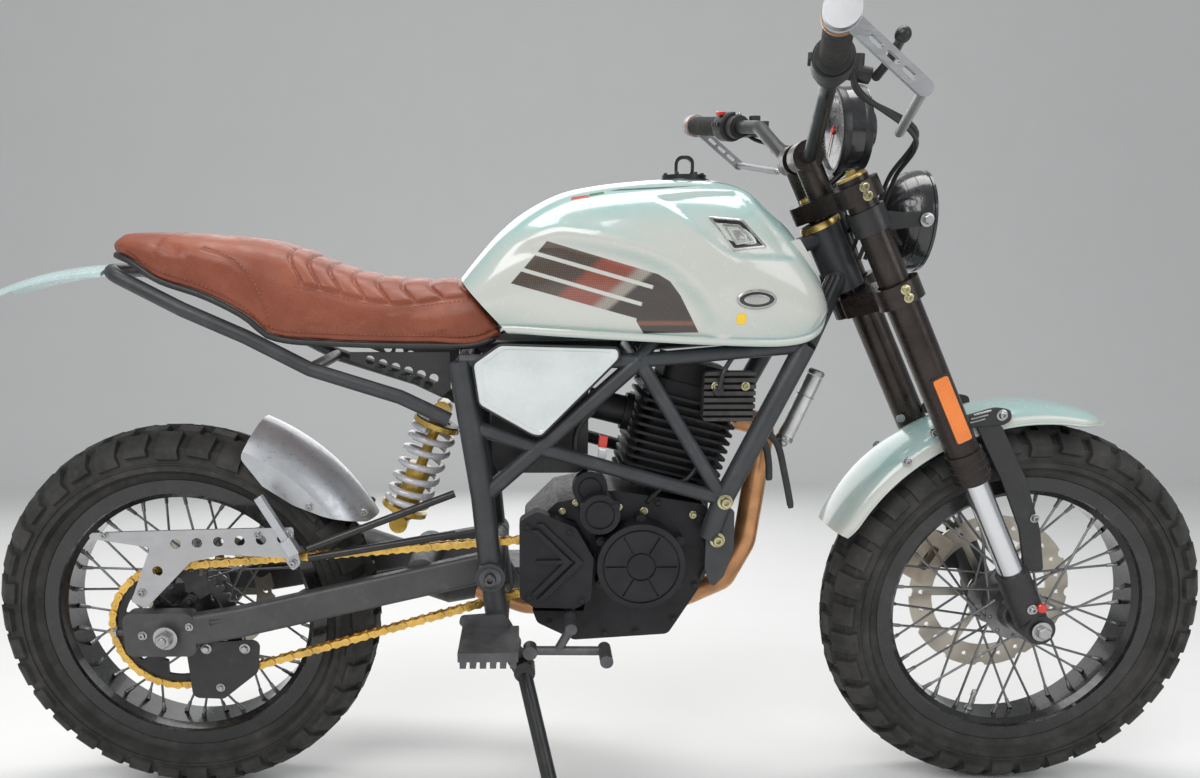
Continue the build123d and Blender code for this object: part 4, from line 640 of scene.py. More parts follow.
wheel_trim("rear_wheel", 0.0, "rear_wheel", 58, 36)
wheel_trim("front_wheel", WHEELBASE, "front_wheel", 48, 32)


# Chain

def pitch_radius(teeth):
    return PITCH / (2 * sin(pi / teeth))


def chain_path(pitch_r, drive_r, drive):
    """Points a pitch apart round the two sprockets."""
    wheel = Vector((0.0, TYRE_R))
    span = (drive - wheel).length
    way = (drive - wheel) / span
    across = Vector((-way.y, way.x))
    spread = asin((pitch_r - drive_r) / span)
    up = across * cos(spread) + way * sin(spread)
    down = across * -cos(spread) + way * sin(spread)
    line = []
    run = span * cos(spread)
    for k in range(200):
        line.append(wheel + up * pitch_r + (drive + up * drive_r - wheel - up * pitch_r) * k / 200)
    a0, a1 = atan2(up.y, up.x), atan2(down.y, down.x)
    for k in range(60):
        a = a0 + (a1 - a0) * k / 60
        line.append(drive + Vector((cos(a), sin(a))) * drive_r)
    for k in range(200):
        line.append(drive + down * drive_r + (wheel + down * pitch_r - drive - down * drive_r) * k / 200)
    for k in range(200):
        a = a1 + (a0 - 2 * pi - a1) * k / 200
        line.append(wheel + Vector((cos(a), sin(a))) * pitch_r)
    line.append(line[0])
    total = sum((b - a).length for a, b in zip(line, line[1:]))
    links = int(round(total / PITCH / 2)) * 2
    out, walked, goal = [], 0.0, 0.0
    for a, b in zip(line, line[1:]):
        d = (b - a).length
        while goal <= walked + d and len(out) < links:
            out.append(a + (b - a) * ((goal - walked) / d))
            goal += total / links
        walked += d
    return out


def chain():
    """Waisted plates on every link, inner and outer by turns, with rollers and riveted pins."""
    pins = chain_path(pitch_radius(REAR_TEETH), pitch_radius(DRIVE_TEETH), DRIVE)
    plates, pin_shape = Shape(), Shape()
    for k, a in enumerate(pins):
        b = pins[(k + 1) % len(pins)]
        way = (b - a).normalized()
        across = Vector((-way.y, way.x))
        outline = []
        for centre, start in ((b, -75), (a, 105)):
            for t in range(0, 151, 30):
                ang = radians(start + t)
                outline.append(centre + (way * cos(ang) + across * sin(ang)) * 6.6)
        mid = (a + b) / 2
        outline.insert(6, mid + across * 4.6)
        outline.append(mid - across * 4.6)
        ring = [(p.x, p.y) for p in outline]
        for start, end in (((-7.2, -5.2), (5.2, 7.2)) if k % 2 else ((-4.9, -3.0), (3.0, 4.9))):
            plates.prism(ring, CHAIN_Y + start, CHAIN_Y + end)
        pin_shape.lathe((a.x, CHAIN_Y - 7.9, a.y), (0, 1, 0), [(0, 2.0), (0.5, 2.5), (15.3, 2.5), (15.8, 2.0)], 10)
        pin_shape.lathe((a.x, CHAIN_Y - 2.9, a.y), (0, 1, 0), [(0, 5.0), (5.8, 5.0)], 12)
    plates.put(pin_shape.points, pin_shape.faces)
    make("chain_links", plates, "gold_chain", "root", replaces=("chain",), angle=40)


chain()


def sprocket():
    """The driven sprocket: teeth, triangular windows and bolts."""
    tooth = (-4.3, -3.2, 2.6, 4.4, 2.6, -3.2)
    steps = REAR_TEETH * len(tooth)
    around = [2 * pi * k / steps for k in range(steps)]
    outer = [(a, pitch_radius(REAR_TEETH) + tooth[k % 6]) for k, a in enumerate(around)]
    inner = [(a, 62 + 22 * ease(cos(6 * a), -0.35, 0.2)) for a in around]
    near, far = CHAIN_Y + SPROCKET_HALF, CHAIN_Y - SPROCKET_HALF
    thick = near - far
    shape = Shape()
    shape.loft([
        [(r * sin(a), y, TYRE_R + r * cos(a)) for a, r in ring]
        for ring, y in ((outer, near), (inner, near), (inner, far), (outer, far))
    ], round_on=True)
    for k in range(6):
        a = radians(60 * k + 30)
        root = Vector((sin(a), 0, cos(a)))
        side = Vector((cos(a), 0, -sin(a)))
        base = Vector((0, near, TYRE_R))
        corners = [base + root * out + side * off for out, off in ((30, -15), (66, -5), (66, 5), (30, 15))]
        shape.slab(corners, (0, -thick, 0))
    shape.lathe((0, near, TYRE_R), (0, -1, 0), [(0, 15), (0, 36), (thick, 36), (thick, 15)], 40, loop=True)
    for k in range(6):
        a = radians(60 * k + 30)
        shape.bolt((50 * sin(a), far, TYRE_R + 50 * cos(a)), (0, -1, 0), 5.0)
    make("sprocket_teeth", shape, "sprocket_black", "rear_wheel", replaces=("rear_sprocket",))


sprocket()


# Rear shock spring

def spring():
    """The shock's coil, closer at its ends, and the seats that it stands on."""
    low, high = SHOCK_LOW, SHOCK_HIGH
    way = (high - low).normalized()
    length = (high - low).length
    u, v = turned(way)
    start, end = 35.8, length - 35.8
    coil_r, wire_r, turns, steps = 33, 5.6, 6.2, 300
    path = []
    for k in range(steps + 1):
        t = k / steps
        up_facing_sheen = ease(t, 0.0, 1.0) * 0.35 + t * 0.65
        a = 2 * pi * turns * t
        path.append(low + way * (start + (end - start) * up_facing_sheen) + (u * cos(a) + v * sin(a)) * coil_r)
    make("spring_coil", Shape().tube(path, wire_r, 12), "spring_paint", "root", replaces=("shock_spring",), angle=180)
    trim = Shape()
    for at in (20, length - 26):
        trim.lathe(low + way * at, way, [(0, 21), (0, 34), (4, 36), (6, 36), (6, 21)], 40, loop=True)
    make("spring_seats", trim, "black_metal", "root")


spring()


# Places on the machine, outlines and plates

BIKE_INV = BIKE.inverted()
FORK_UP = Vector((-sin(RAKE), 0, cos(RAKE)))


def fork(z, y=0.0):
    """A point of the line that runs from the front axle up the fork."""
    return Vector((WHEELBASE - tan(RAKE) * (z - TYRE_R), y, z))


HEAD_TOP = fork(YOKE_Z - FORK_OFFSET * sin(RAKE)) - Vector((FORK_OFFSET / cos(RAKE), 0, 0))
BAR_MID = HEAD_TOP + Vector((-26, 0, 73))


def on_bar(reach, flank):
    """A point of the handlebar's straight end, measured inwards from its tip."""
    tip = BAR_MID + Vector((-85, flank * 443, 101))
    bend = BAR_MID + Vector((-20, flank * 190, 68))
    return tip + (bend - tip).normalized() * reach


def to_line(x, z, line):
    """How far a point lies from a chain of (x, z)."""
    best = 1e9
    for (x0, z0), (x1, z1) in zip(line, line[1:]):
        dx, dz = x1 - x0, z1 - z0
        t = min(1.0, max(0.0, ((x - x0) * dx + (z - z0) * dz) / (dx * dx + dz * dz)))
        best = min(best, hypot(x - x0 - t * dx, z - z0 - t * dz))
    return best


def depth_in(x, z, corners):
    """How deep a point lies inside an outline of (x, z); negative outside."""
    outline = corners + corners[:1]
    inside = False
    for (x0, z0), (x1, z1) in zip(outline, outline[1:]):
        if (z0 > z) != (z1 > z) and x < x0 + (z - z0) * (x1 - x0) / (z1 - z0):
            inside = not inside
    return to_line(x, z, outline) if inside else -to_line(x, z, outline)


def ellipse(x, z, a, b, steps):
    return [(x + a * cos(2 * pi * k / steps), z + b * sin(2 * pi * k / steps)) for k in range(steps)]


def both_flanks(x, half_ring, middle_z):
    """A closed section at x from half of it, in (y, z), and its lowest point in the middle."""
    half = [(x, y, z) for y, z in half_ring] + [(x, 0, middle_z)]
    return half + [(px, -py, pz) for px, py, pz in reversed(half[1:-1])]


def rounded(corners, r, steps=4):
    """An outline with round corners."""
    out = []
    for k, corner in enumerate(corners):
        p, a, b = Vector(corner), Vector(corners[k - 1]), Vector(corners[(k + 1) % len(corners)])
        u, v = (a - p).normalized(), (b - p).normalized()
        cut = min(r, (a - p).length * 0.45, (b - p).length * 0.45)
        for s in range(steps + 1):
            t = s / steps
            q = p + u * cut * (1 - t) ** 2 + v * cut * t ** 2
            out.append((q.x, q.y))
    return out


def inset_outline(outline, inset):
    """The outline moved inwards along its own normals."""
    area = sum(a[0] * b[1] - b[0] * a[1] for a, b in zip(outline, outline[1:] + outline[:1]))
    sign = 1 if area > 0 else -1
    out = []
    for k, (x, z) in enumerate(outline):
        a, b = outline[k - 1], outline[(k + 1) % len(outline)]
        dx, dz = b[0] - a[0], b[1] - a[1]
        d = hypot(dx, dz) or 1.0
        out.append((x - sign * dz / d * inset, z + sign * dx / d * inset))
    return out


def plate(shape, origin, along, across, outline, levels):
    """A flat outline built up from a plane, in levels of (inset, height)."""
    origin, along, across = Vector(origin), Vector(along).normalized(), Vector(across).normalized()
    up = along.cross(across)
    rings = []
    for inset, height in levels:
        rings.append([origin + along * a + across * b + up * height for a, b in inset_outline(outline, inset)])
    return shape.loft(rings)


def oblong(length, width, r):
    a, b = length / 2, width / 2
    return rounded([(-a, -b), (a, -b), (a, b), (-a, b)], r)


def skin_of(*names):
    """A search tree of CAD nodes' surfaces, in the upright machine's millimetres."""
    points, faces = [], []
    for name in names:
        mesh = frame["nodes"][name].data
        first = len(points)
        points += [BIKE_INV @ v.co for v in mesh.vertices]
        faces += [[first + i for i in p.vertices] for p in mesh.polygons]
    return BVHTree.FromPolygons(points, faces)


def touch(tree, x, z, flank):
    """Where a line across the machine first meets a surface from one flank."""
    place_at, normal, _, _ = tree.ray_cast(Vector((x, flank * 460.0, z)), Vector((0, -flank, 0)))
    return place_at, normal


def studs(name, tree, places, material, slot, flank=-1):
    """Bolt heads standing on the solids where a line across the machine meets them."""
    shape = Shape()
    for x, z, r, kind in places:
        at, _ = touch(tree, x, z, flank)
        if at:
            shape.bolt(at, (0, flank, 0), r, kind)
    make(name, shape, material, "root", slot=slot)


# Tank

TANK_TOP = (
    (440, 836), (463, 860), (485, 887), (525, 931), (565, 962), (616, 987), (667, 998), (730, 1005), (788, 1008),
    (851, 1005), (891, 994), (920, 970), (953, 941), (975, 912), (997, 878), (1010, 848), (1016, 828),
)
TANK_LOW = (
    (440, 780), (532, 785), (602, 782), (713, 776), (824, 770), (917, 766), (954, 767), (985, 773), (1003, 784),
    (1011, 796), (1016, 806)
)
TANK_HALF = (
    (440, 104), (530, 129), (640, 147), (790, 152), (900, 143), (962, 129), (985, 121), (1000, 111), (1010, 99),
    (1016, 86)
)
KNEE = [
    (440, 700), (470, 850), (505, 893), (557, 921), (613, 927), (670, 916), (726, 902), (769, 884), (800, 860),
    (820, 834), (838, 800), (850, 700)
]
FACET = [
    (748, 979), (782, 953), (811, 930), (841, 905), (866, 893), (952, 892), (930, 926), (903, 955), (872, 988),
    (815, 987)
]


def tank_ring(x):
    """The tank's section at x, with the knee hollow, the facet, the seam and the channel beneath."""
    top, low, half = curve(TANK_TOP, x), curve(TANK_LOW, x), curve(TANK_HALF, x)
    waist = low + 0.36 * (top - low)
    ring = []
    for k in range(45):
        a = pi / 2 * k / 44
        ring.append([half * sin(a) ** 0.714, waist + (top - waist) * max(0.0, cos(a)) ** 0.714])
    ledge = min(low + 13, waist - 2)
    for k in range(1, 15):
        t = k / 14
        ring.append([half * (1 - 0.095 * t ** 1.6), waist + (ledge - waist) * t])
    for point in ring:
        y, z = point
        side = ease(y, 0.55 * half, 0.9 * half)
        d = depth_in(x, z, KNEE)
        push = 10.5 * ease(d, -3, 22) * ease(x, 480, 620) * (0.45 + 0.55 * ease(z, ledge, ledge + 55))
        push -= 2.6 * exp(-((d + 9) / 8) ** 2) * ease(x, 520, 640)
        point[0] -= push * side
        f = 4.6 * ease(depth_in(x, z, FACET), -0.5, 5.0)
        if f:
            away = Vector((y, z - waist)).normalized()
            point[0] -= away.x * f
            point[1] -= away.y * f
    edge = half * 0.905
    ring += [
        [edge + 2.2, ledge - 1.5], [edge + 3.4, ledge - 4], [edge + 3.2, low + 4], [edge + 1.0, low + 0.8],
        [edge - 5, low]
    ]
    inner = min(114.0, edge - 9)
    if x > 669:
        if x < 780:
            ceiling = 790 + (x - 670) * 0.691
        else:
            ceiling = 866 + (x - 780) * 0.3125
        ceiling = min(ceiling, top - 9)
        if x < 671:
            ceiling = low + 1 + (ceiling - low) * (x - 669) / 2
        ring += [[inner, low], [inner, (low + ceiling) / 2], [inner - 2, ceiling - 2], [inner / 2, ceiling]]
        end = ceiling
    else:
        ring += [[inner, low], [inner * 0.8, low + 0.5], [inner * 0.6, low + 1], [inner / 2, low + 1]]
        end = low + 1
    return both_flanks(x, ring, end)


def evaluated(obj):
    """The object's mesh with its modifiers applied."""
    graph = bpy.context.evaluated_depsgraph_get()
    graph.update()
    return bpy.data.meshes.new_from_object(obj.evaluated_get(graph), depsgraph=graph)


def carved(mesh, cutter):
    """A mesh with another shape taken out of it."""
    body = linked("carve_body", mesh)
    tool = linked("carve_tool", mesh_of("carve_tool", cutter))
    mod = body.modifiers.new("cut", "BOOLEAN")
    mod.object = tool
    mod.operation = "DIFFERENCE"
    mod.solver = "MANIFOLD"
    out = evaluated(body)
    bpy.data.objects.remove(body)
    bpy.data.objects.remove(tool)
    return out


def cut_off(mesh, point, normal):
    """A mesh cut on a plane and closed there; what the normal points at goes."""
    bm = bmesh.new()
    bm.from_mesh(mesh)
    result = bmesh.ops.bisect_plane(
        bm, geom=bm.verts[:] + bm.edges[:] + bm.faces[:], clear_outer=True,
        plane_co=BIKE @ Vector(point), plane_no=TURN.to_3x3() @ Vector(normal),
    )
    edges = [e for e in result["geom_cut"] if isinstance(e, bmesh.types.BMEdge)]
    bmesh.ops.holes_fill(bm, edges=edges, sides=0)
    bm.to_mesh(mesh)
    bm.free()
    return mesh


SEAM = Vector((467, 0, 862))
SEAM_NORMAL = Vector((72, 0, 66)).normalized()
xs = [440 + 6.5 * k for k in range(35)] + [669.1, 671.1] + [676 + 6.5 * k for k in range(48)]
xs = [x for x in xs if x < 985] + [986, 991, 996, 1000, 1004, 1007, 1010, 1012.5, 1014.5, 1016]
tank_shape = Shape().loft([tank_ring(x) for x in xs])
tank_tree = BVHTree.FromPolygons(tank_shape.points, tank_shape.faces)
tank_mesh = cut_off(mesh_of("tank_skin", tank_shape), SEAM + SEAM_NORMAL * 0.4, -SEAM_NORMAL)
notch = rounded([(925, -52), (1115, -52), (1115, 52), (925, 52)], 24, 6)
tank_mesh = carved(tank_mesh, Shape().loft([[(x, y, z) for x, y in notch] for z in (730, 1060)]))
place("tank_skin", tank_mesh, "pearl_paint", "root", replaces=("tank",), angle=42)


def badge(shape, outline, levels, flank):
    """A thin raised plate that follows the tank's side."""
    rings = []
    for inset, height in levels:
        ring = []
        for x, z in inset_outline(outline, inset):
            at, _ = touch(tank_tree, x, z, flank)
            ring.append((x, at.y + flank * height, z))
        rings.append(ring)
    shape.loft(rings)


badge_rim, badge_dark, badge_motif, badge_dot = Shape(), Shape(), Shape(), Shape()
DIAMOND = rounded([(822, 951), (872, 947), (909, 908), (858, 903)], 5)
OVAL = ellipse(895, 835.5, 29, 14, 36)
RAISED = ((0, 0.5), (0, 1.9), (0.8, 2.2))
HOLLOW = RAISED + ((2.6, 2.2), (2.9, 1.5), (3.0, 0.5))
for flank in (-1, 1):
    for outline in (DIAMOND, OVAL):
        badge(badge_rim, outline, ((0, -2.5), (0, 1.4), (1.0, 2.2), (3.2, 2.2), (3.6, 1.2), (4.2, -2.5)), flank)
        badge(badge_dark, inset_outline(outline, 3.4), ((0, -2.5), (0, 1.1), (1, 1.3)), flank)
    badge(badge_motif, rounded([(842, 941), (868, 939), (890, 915), (862, 911)], 2), HOLLOW, flank)
    badge(badge_motif, rounded([(856, 932), (868, 931), (877, 920), (864, 919)], 2), RAISED, flank)
    badge(badge_motif, ellipse(895, 835.5, 19, 7, 28), ((0, 0.5), (0, 1.8), (0.8, 2.0)), flank)
    badge(
        badge_dot, rounded([(868, 815), (882, 815), (882, 800), (868, 800)], 4), ((0, -1), (0, 0.7), (0.8, 0.9)), flank
    )
make("badge_rims", badge_rim, "badge_silver", "root", slot="bright_alloy", angle=30)
make("badge_fields", badge_dark, "gauge_black", "root", angle=30)
make("badge_motifs", badge_motif, "badge_silver", "root", slot="bright_alloy", angle=30)
make("tank_dots", badge_dot, "yellow_dot", "root", slot="pearl_paint", angle=30)
cap_trim = Shape()
cap_trim.lathe(FUEL_CAP, (0, 0, 1), [(0, 36), (3, 40), (5.5, 39), (6, 35), (2, 33)], 48, loop=True)
for k in range(6):
    a = radians(60 * k)
    cap_trim.bolt(FUEL_CAP + Vector((28 * cos(a), 28 * sin(a), 12)), (0, 0, 1), 3.0, "cap", washer=False)
make("cap_trim", cap_trim, "black_metal", "root")


# Seat

SEAT_TOP = (
    (-56, 926), (-20, 929), (40, 929), (106, 925), (190, 914), (258, 886), (320, 866), (398, 857), (462, 858),
    (545, 866)
)
SEAT_LOW = (
    (-56, 899), (-20, 888), (23, 861), (93, 837), (150, 808), (187, 778), (277, 768), (423, 764), (494, 766), (545, 790)
)
SEAT_HALF = ((-56, 60), (-40, 84), (-10, 100), (30, 110), (140, 120), (200, 118), (300, 113), (400, 110), (545, 107))


def seat_ring(x, shrink):
    """The seat's section at x, drawn in by what its stuffing adds."""
    top, low, half = curve(SEAT_TOP, x) - shrink, curve(SEAT_LOW, x) + shrink * 0.4, curve(SEAT_HALF, x) - shrink
    waist = low + 0.5 * (top - low)
    ring = []
    for k in range(23):
        a = pi / 2 * k / 22
        ring.append((half * sin(a) ** 0.72, waist + (top - waist) * max(0.0, cos(a)) ** 0.80))
    for k in range(1, 7):
        t = k / 6
        ring.append((half * (1 - 0.05 * t * t), waist + (low + 5 - waist) * t))
    ring += [(half * 0.93, low + 1), (half * 0.88, low), (half * 0.5, low)]
    return both_flanks(x, ring, low)


CLOTH_FRAMES = 20


def padded_mesh(mesh, voxel, pressure, cap):
    """The mesh remeshed and blown up a little as a stuffed cover, no point moving more than the cap."""
    obj = linked("pad", mesh)
    remesh = obj.modifiers.new("remesh", "REMESH")
    remesh.mode = "VOXEL"
    remesh.voxel_size = voxel
    even = evaluated(obj)
    bpy.data.objects.remove(obj)
    obj = linked("pad", even)
    cloth = obj.modifiers.new("cloth", "CLOTH")
    settings = cloth.settings
    settings.quality = 5
    settings.use_pressure = True
    settings.uniform_pressure_force = pressure
    settings.effector_weights.gravity = 0
    settings.tension_stiffness = settings.compression_stiffness = 40
    settings.bending_stiffness = 2.0
    cloth.point_cache.frame_start, cloth.point_cache.frame_end = 1, CLOTH_FRAMES
    start = [v.co.copy() for v in even.vertices]
    for number in range(1, CLOTH_FRAMES + 1):
        bpy.context.scene.frame_set(number)
    blown = evaluated(obj)
    bpy.data.objects.remove(obj)
    for vertex, before in zip(blown.vertices, start):
        moved = vertex.co - before
        if moved.length > cap:
            vertex.co = before + moved * (cap / moved.length)
    bpy.context.scene.frame_set(1)
    return blown


RIB_TOP = (216, 242, 272, 306, 342, 380, 420, 462)
RIB_UPPER = ((160, 905), (214, 893), (264, 874), (300, 862), (336, 853), (380, 846), (424, 848), (470, 852))
RIB_LOWER = ((200, 866), (237, 855), (280, 845), (323, 834), (381, 827), (439, 833), (490, 838))
SIDE_SEAM = [(96, 906), (118, 900), (140, 890), (158, 872), (168, 855), (176, 836), (182, 812), (187, 780)]
seat_mesh = mesh_of("seat_pad", Shape().loft([seat_ring(x, 4.0) for x in [-56 + 601 * k / 80 for k in range(81)]]))
seat_mesh = cut_off(seat_mesh, SEAM - SEAM_NORMAL * 3.4, SEAM_NORMAL)
seat_mesh = padded_mesh(seat_mesh, 0.005, 4.0, 0.006)
pad = linked("pad", seat_mesh)
fine = pad.modifiers.new("fine", "SUBSURF")
fine.levels = fine.render_levels = 1
seat_mesh = evaluated(pad)
bpy.data.objects.remove(pad)


def rib_line(x, z):
    """Where a point lies along the ribs, their channels leaning forward down the flanks."""
    upper, lower = curve(RIB_UPPER, x), curve(RIB_LOWER, x)
    return x - 20 * ease(upper + 6 - z, 0, upper + 6 - lower)


seat_mesh.update()
normals = [TURN.to_3x3().inverted() @ v.normal for v in seat_mesh.vertices]
moves = []
for vertex, normal in zip(seat_mesh.vertices, normals):
    p = BIKE_INV @ vertex.co
    depth = 0.0
    if 190 < p.x < 500 and normal.x < 0.8:
        u = rib_line(p.x, p.z)
        lower = curve(RIB_LOWER, p.x)
        area = ease(p.z, lower - 1, lower + 5)
        near = min(abs(u - g) for g in RIB_TOP)
        if RIB_TOP[0] - 2 < u < RIB_TOP[-1] + 2:
            left = max([g for g in RIB_TOP if g <= u] or [RIB_TOP[0]])
            right = min([g for g in RIB_TOP if g > u] or [RIB_TOP[-1]])
            if right > left:
                t = (u - left) / (right - left)
                depth -= area * 3.2 * max(0.0, sin(pi * t)) ** 0.5
        depth += area * 3.4 * exp(-(near / 2.4) ** 2)
        depth += 2.2 * exp(-((p.z - lower) / 2.6) ** 2) * ease(u, 205, 222) * ease(500 - p.x, 0, 14)
    if normal.z > -0.5:
        depth += 2.4 * exp(-(to_line(p.x, p.z, SIDE_SEAM) / 2.4) ** 2) * ease(abs(p.y), 70, 84)
    low = curve(SEAT_LOW, p.x)
    depth += 1.8 * exp(-((p.z - low - 13) / 2.4) ** 2) * ease(abs(p.y), 60, 80)
    moves.append(vertex.co - (TURN.to_3x3() @ normal) * depth / 1000)
for vertex, co in zip(seat_mesh.vertices, moves):
    vertex.co = co
seat = place("seat_pad", seat_mesh, "seat_leather", "root", replaces=("seat",), angle=180)
seat_tree = BVHTree.FromPolygons(
    [BIKE_INV @ v.co for v in seat_mesh.vertices], [list(p.vertices) for p in seat_mesh.polygons]
)


STITCH, STITCH_STEP = 4.2, 6.5


def stitches(name, lines):
    """Short threads along lines of (x, z), each moved aside by its offset and laid on the seat's flanks."""
    shape = Shape()
    for line, offset in lines:
        walked = 0.0
        for (x0, z0), (x1, z1) in zip(line, line[1:]):
            d = hypot(x1 - x0, z1 - z0)
            way = ((x1 - x0) / d, (z1 - z0) / d)
            side = (-way[1] * offset, way[0] * offset)
            while walked < d:
                for flank in (-1, 1):
                    ends = []
                    for step in (0.0, 0.5, 1.0):
                        x = x0 + way[0] * (walked + STITCH * step) + side[0]
                        z = z0 + way[1] * (walked + STITCH * step) + side[1]
                        at, n = touch(seat_tree, x, z, flank)
                        if at and abs(n.y) > 0.25:
                            ends.append(at + Vector((0, flank * (0.1 if step != 0.5 else 0.7), 0)))
                    if len(ends) == 3:
                        shape.tube(ends, 0.55, 5)
                walked += STITCH_STEP
            walked -= d
    make(name, shape, "thread", "root", slot="seat_leather", angle=180)


seam_low = [(x, curve(RIB_LOWER, x)) for x in range(226, 492, 12)]
hem = [(x, curve(SEAT_LOW, x) + 17) for x in range(0, 515, 12)]
stitches("seat_stitches", ((SIDE_SEAM, 4.0), (seam_low, -4.0), (hem, 0.0)))
seat_base = Shape()
for flank in (-1, 1):
    line = [(x, flank * (curve(SEAT_HALF, x) * 0.93 - 6), curve(SEAT_LOW, x) + 1.5) for x in range(-46, 526, 12)]
    seat_base.tube(line, 4.6, 8, 0.7)
make("seat_base_edge", seat_base, "black_plastic", "root", angle=180)


# Side covers

COVER = rounded([(488, 742), (527, 769), (698, 764), (700, 751), (586, 636), (574, 638), (496, 683)], 6)
COVER_MIDDLE = (596, 716)
COVER_RINGS = (  # share of the outline, and height
    (1.0, 0.2), (1.0, 5.2), (0.985, 6.6), (0.93, 6.8), (0.90, 5.4), (0.86, 5.6), (0.70, 7.6), (0.40, 9.0), (0.05, 9.4),
)
cover, cover_edge = Shape(), Shape()
for flank in (-1, 1):
    cx, cz = COVER_MIDDLE
    cover.loft([
        [(cx + (x - cx) * share, flank * (COVER_Y + height), cz + (z - cz) * share) for x, z in COVER]
        for share, height in COVER_RINGS
    ])
    ring = [(x, flank * (COVER_Y + 1.5), z) for x, z in inset_outline(COVER, -1.2)]
    cover_edge.tube(ring + [ring[0]], 2.4, 8)
make("side_cover_panels", cover, "white_panel", "root", replaces=("side_covers",), angle=28)
make("side_cover_edges", cover_edge, "black_plastic", "root", angle=180)


# Bolts and fittings on the solids

frame_skin = skin_of("frame_left", "frame_right", "frame_centre")
for side_name, flank in FLANKS:
    places = ((866, 532, 8, "cap"), (858, 470, 8, "cap"))
    studs("frame_bolts_" + side_name, frame_skin, places, "brass_bolt", "bright_alloy", flank)
pivot_bolts = Shape()
for flank in (-1, 1):
    washer = [(-12, 8), (1, 8), (1, 17), (2.6, 17), (3.0, 16), (3.0, 0.1)]
    pivot_bolts.lathe(PIVOT + Vector((0, flank * 137.0, 0)), (0, flank, 0), washer, 36)
    pivot_bolts.bolt(PIVOT + Vector((0, flank * 140.0, 0)), (0, flank, 0), 9.5, "cap", washer=False)
make("pivot_bolts", pivot_bolts, "steel_dark", "root", slot="black_metal", angle=35)
engine_skin = skin_of("crankcase", "engine_covers", "sprocket_cover")
CASE_BOLTS = (
    (700, 528), (770, 520), (838, 494), (846, 452), (832, 384), (800, 326), (740, 305), (690, 302), (640, 304),
    (600, 320), (567, 378), (565, 492), (650, 372),
)


def bolt_circle(centre, radius, angles, size):
    return [(centre.x + radius * cos(radians(a)), centre.z + radius * sin(radians(a)), size, "hex") for a in angles]


studs("engine_bolts", engine_skin, bolt_circle(GENERATOR, 70, range(30, 390, 60), 5.0) + [
    (x, z, 4.5, "hex") for x, z in CASE_BOLTS
] + [(630, 484, 4.0, "hex")], "engine_black", "engine_black")
studs("engine_top_bolts", engine_skin, (
    (620, 506, 4.0, "cap"), (641, 520, 4.0, "cap"), (708, 512, 4.5, "cap"), (748, 506, 4.5, "cap"),
    (826, 500, 4.5, "cap"),
), "brass_bolt", "bright_alloy")
clutch_skin = skin_of("clutch_cover", "crankcase")
clutch_places = bolt_circle(CLUTCH, 80, (100, 150, 195, 240, 285), 4.5)
clutch_places += bolt_circle(CLUTCH_FRONT, 55, (70, 20, -30, -80), 4.5)
studs("clutch_bolts", clutch_skin, clutch_places, "steel_bolt", "engine_black", 1)
clutch_trim = Shape()
cover_face = Vector((0, 127.5, 0))
clutch_trim.ring(CLUTCH + cover_face + Vector((0, 0.5, 0)), (0, 1, 0), 56, 2.4, 60, 8)
clutch_trim.lathe(CLUTCH + cover_face, (0, 1, 0), [(0, 0.1), (0, 34), (2, 33), (3.5, 20), (3.5, 0.1)], 48)
boss = [(0, 0.1), (0, 20), (3, 18), (3, 8), (1, 7), (1, 0.1)]
clutch_trim.lathe(CLUTCH_FRONT + cover_face, (0, 1, 0), boss, 36)
make("clutch_trim", clutch_trim, "engine_black", "root", angle=35)

swing_skin = skin_of("swingarm", "chain_guard", "chain_guide", "hugger_stays")
for side_name, flank in FLANKS:
    places = ((-40, 316, 5, "cap"), (34, 330, 4.5, "cap"))
    studs("arm_bolts_" + side_name, swing_skin, places, "steel_bolt", "bright_alloy", flank)
axle = Shape()
for flank in (-1, 1):
    axle.bolt((0, flank * 136.2, TYRE_R), (0, flank, 0), 13, "hex")
    axle.lathe((0, flank * 136, TYRE_R), (0, flank, 0), [(0, 6), (17, 6), (18, 5), (18, 0.1)], 18)
    axle.lathe((-84, flank * 111, TYRE_R), (-1, 0, 0), [(0, 5), (0, 9), (5, 9), (5, 5)], 6, loop=True)
make("rear_axle_nuts", axle, "steel_bolt", "root", slot="bright_alloy", angle=35)
studs("guard_bolts", swing_skin, (
    (-86, 478, 4.0, "cap"), (196, 478, 5, "cap"), (150, 478, 4, "cap"), (-38, 384, 5, "cap"),
    (48, 282, 6, "hex"), (110, 282, 6, "hex"), (66, 214, 5, "hex"),
), "steel_bolt", "bright_alloy")
arm_ridge = Shape()
for flank in (-1, 1):
    near, far = Vector((66, flank * 123.6, 343)), Vector((176, flank * 117.6, 352))
    low = Vector((66, flank * 123.6, 331))
    crest = Vector((70, flank * 127.4, 339))
    arm_ridge.put([near, far, low, crest], [(0, 1, 3), (1, 2, 3), (2, 0, 3), (0, 2, 1)])
make("arm_ridges", arm_ridge, "swingarm_paint", "root", angle=180)


# The guard's front leg, and the bar that clamps it to the arm

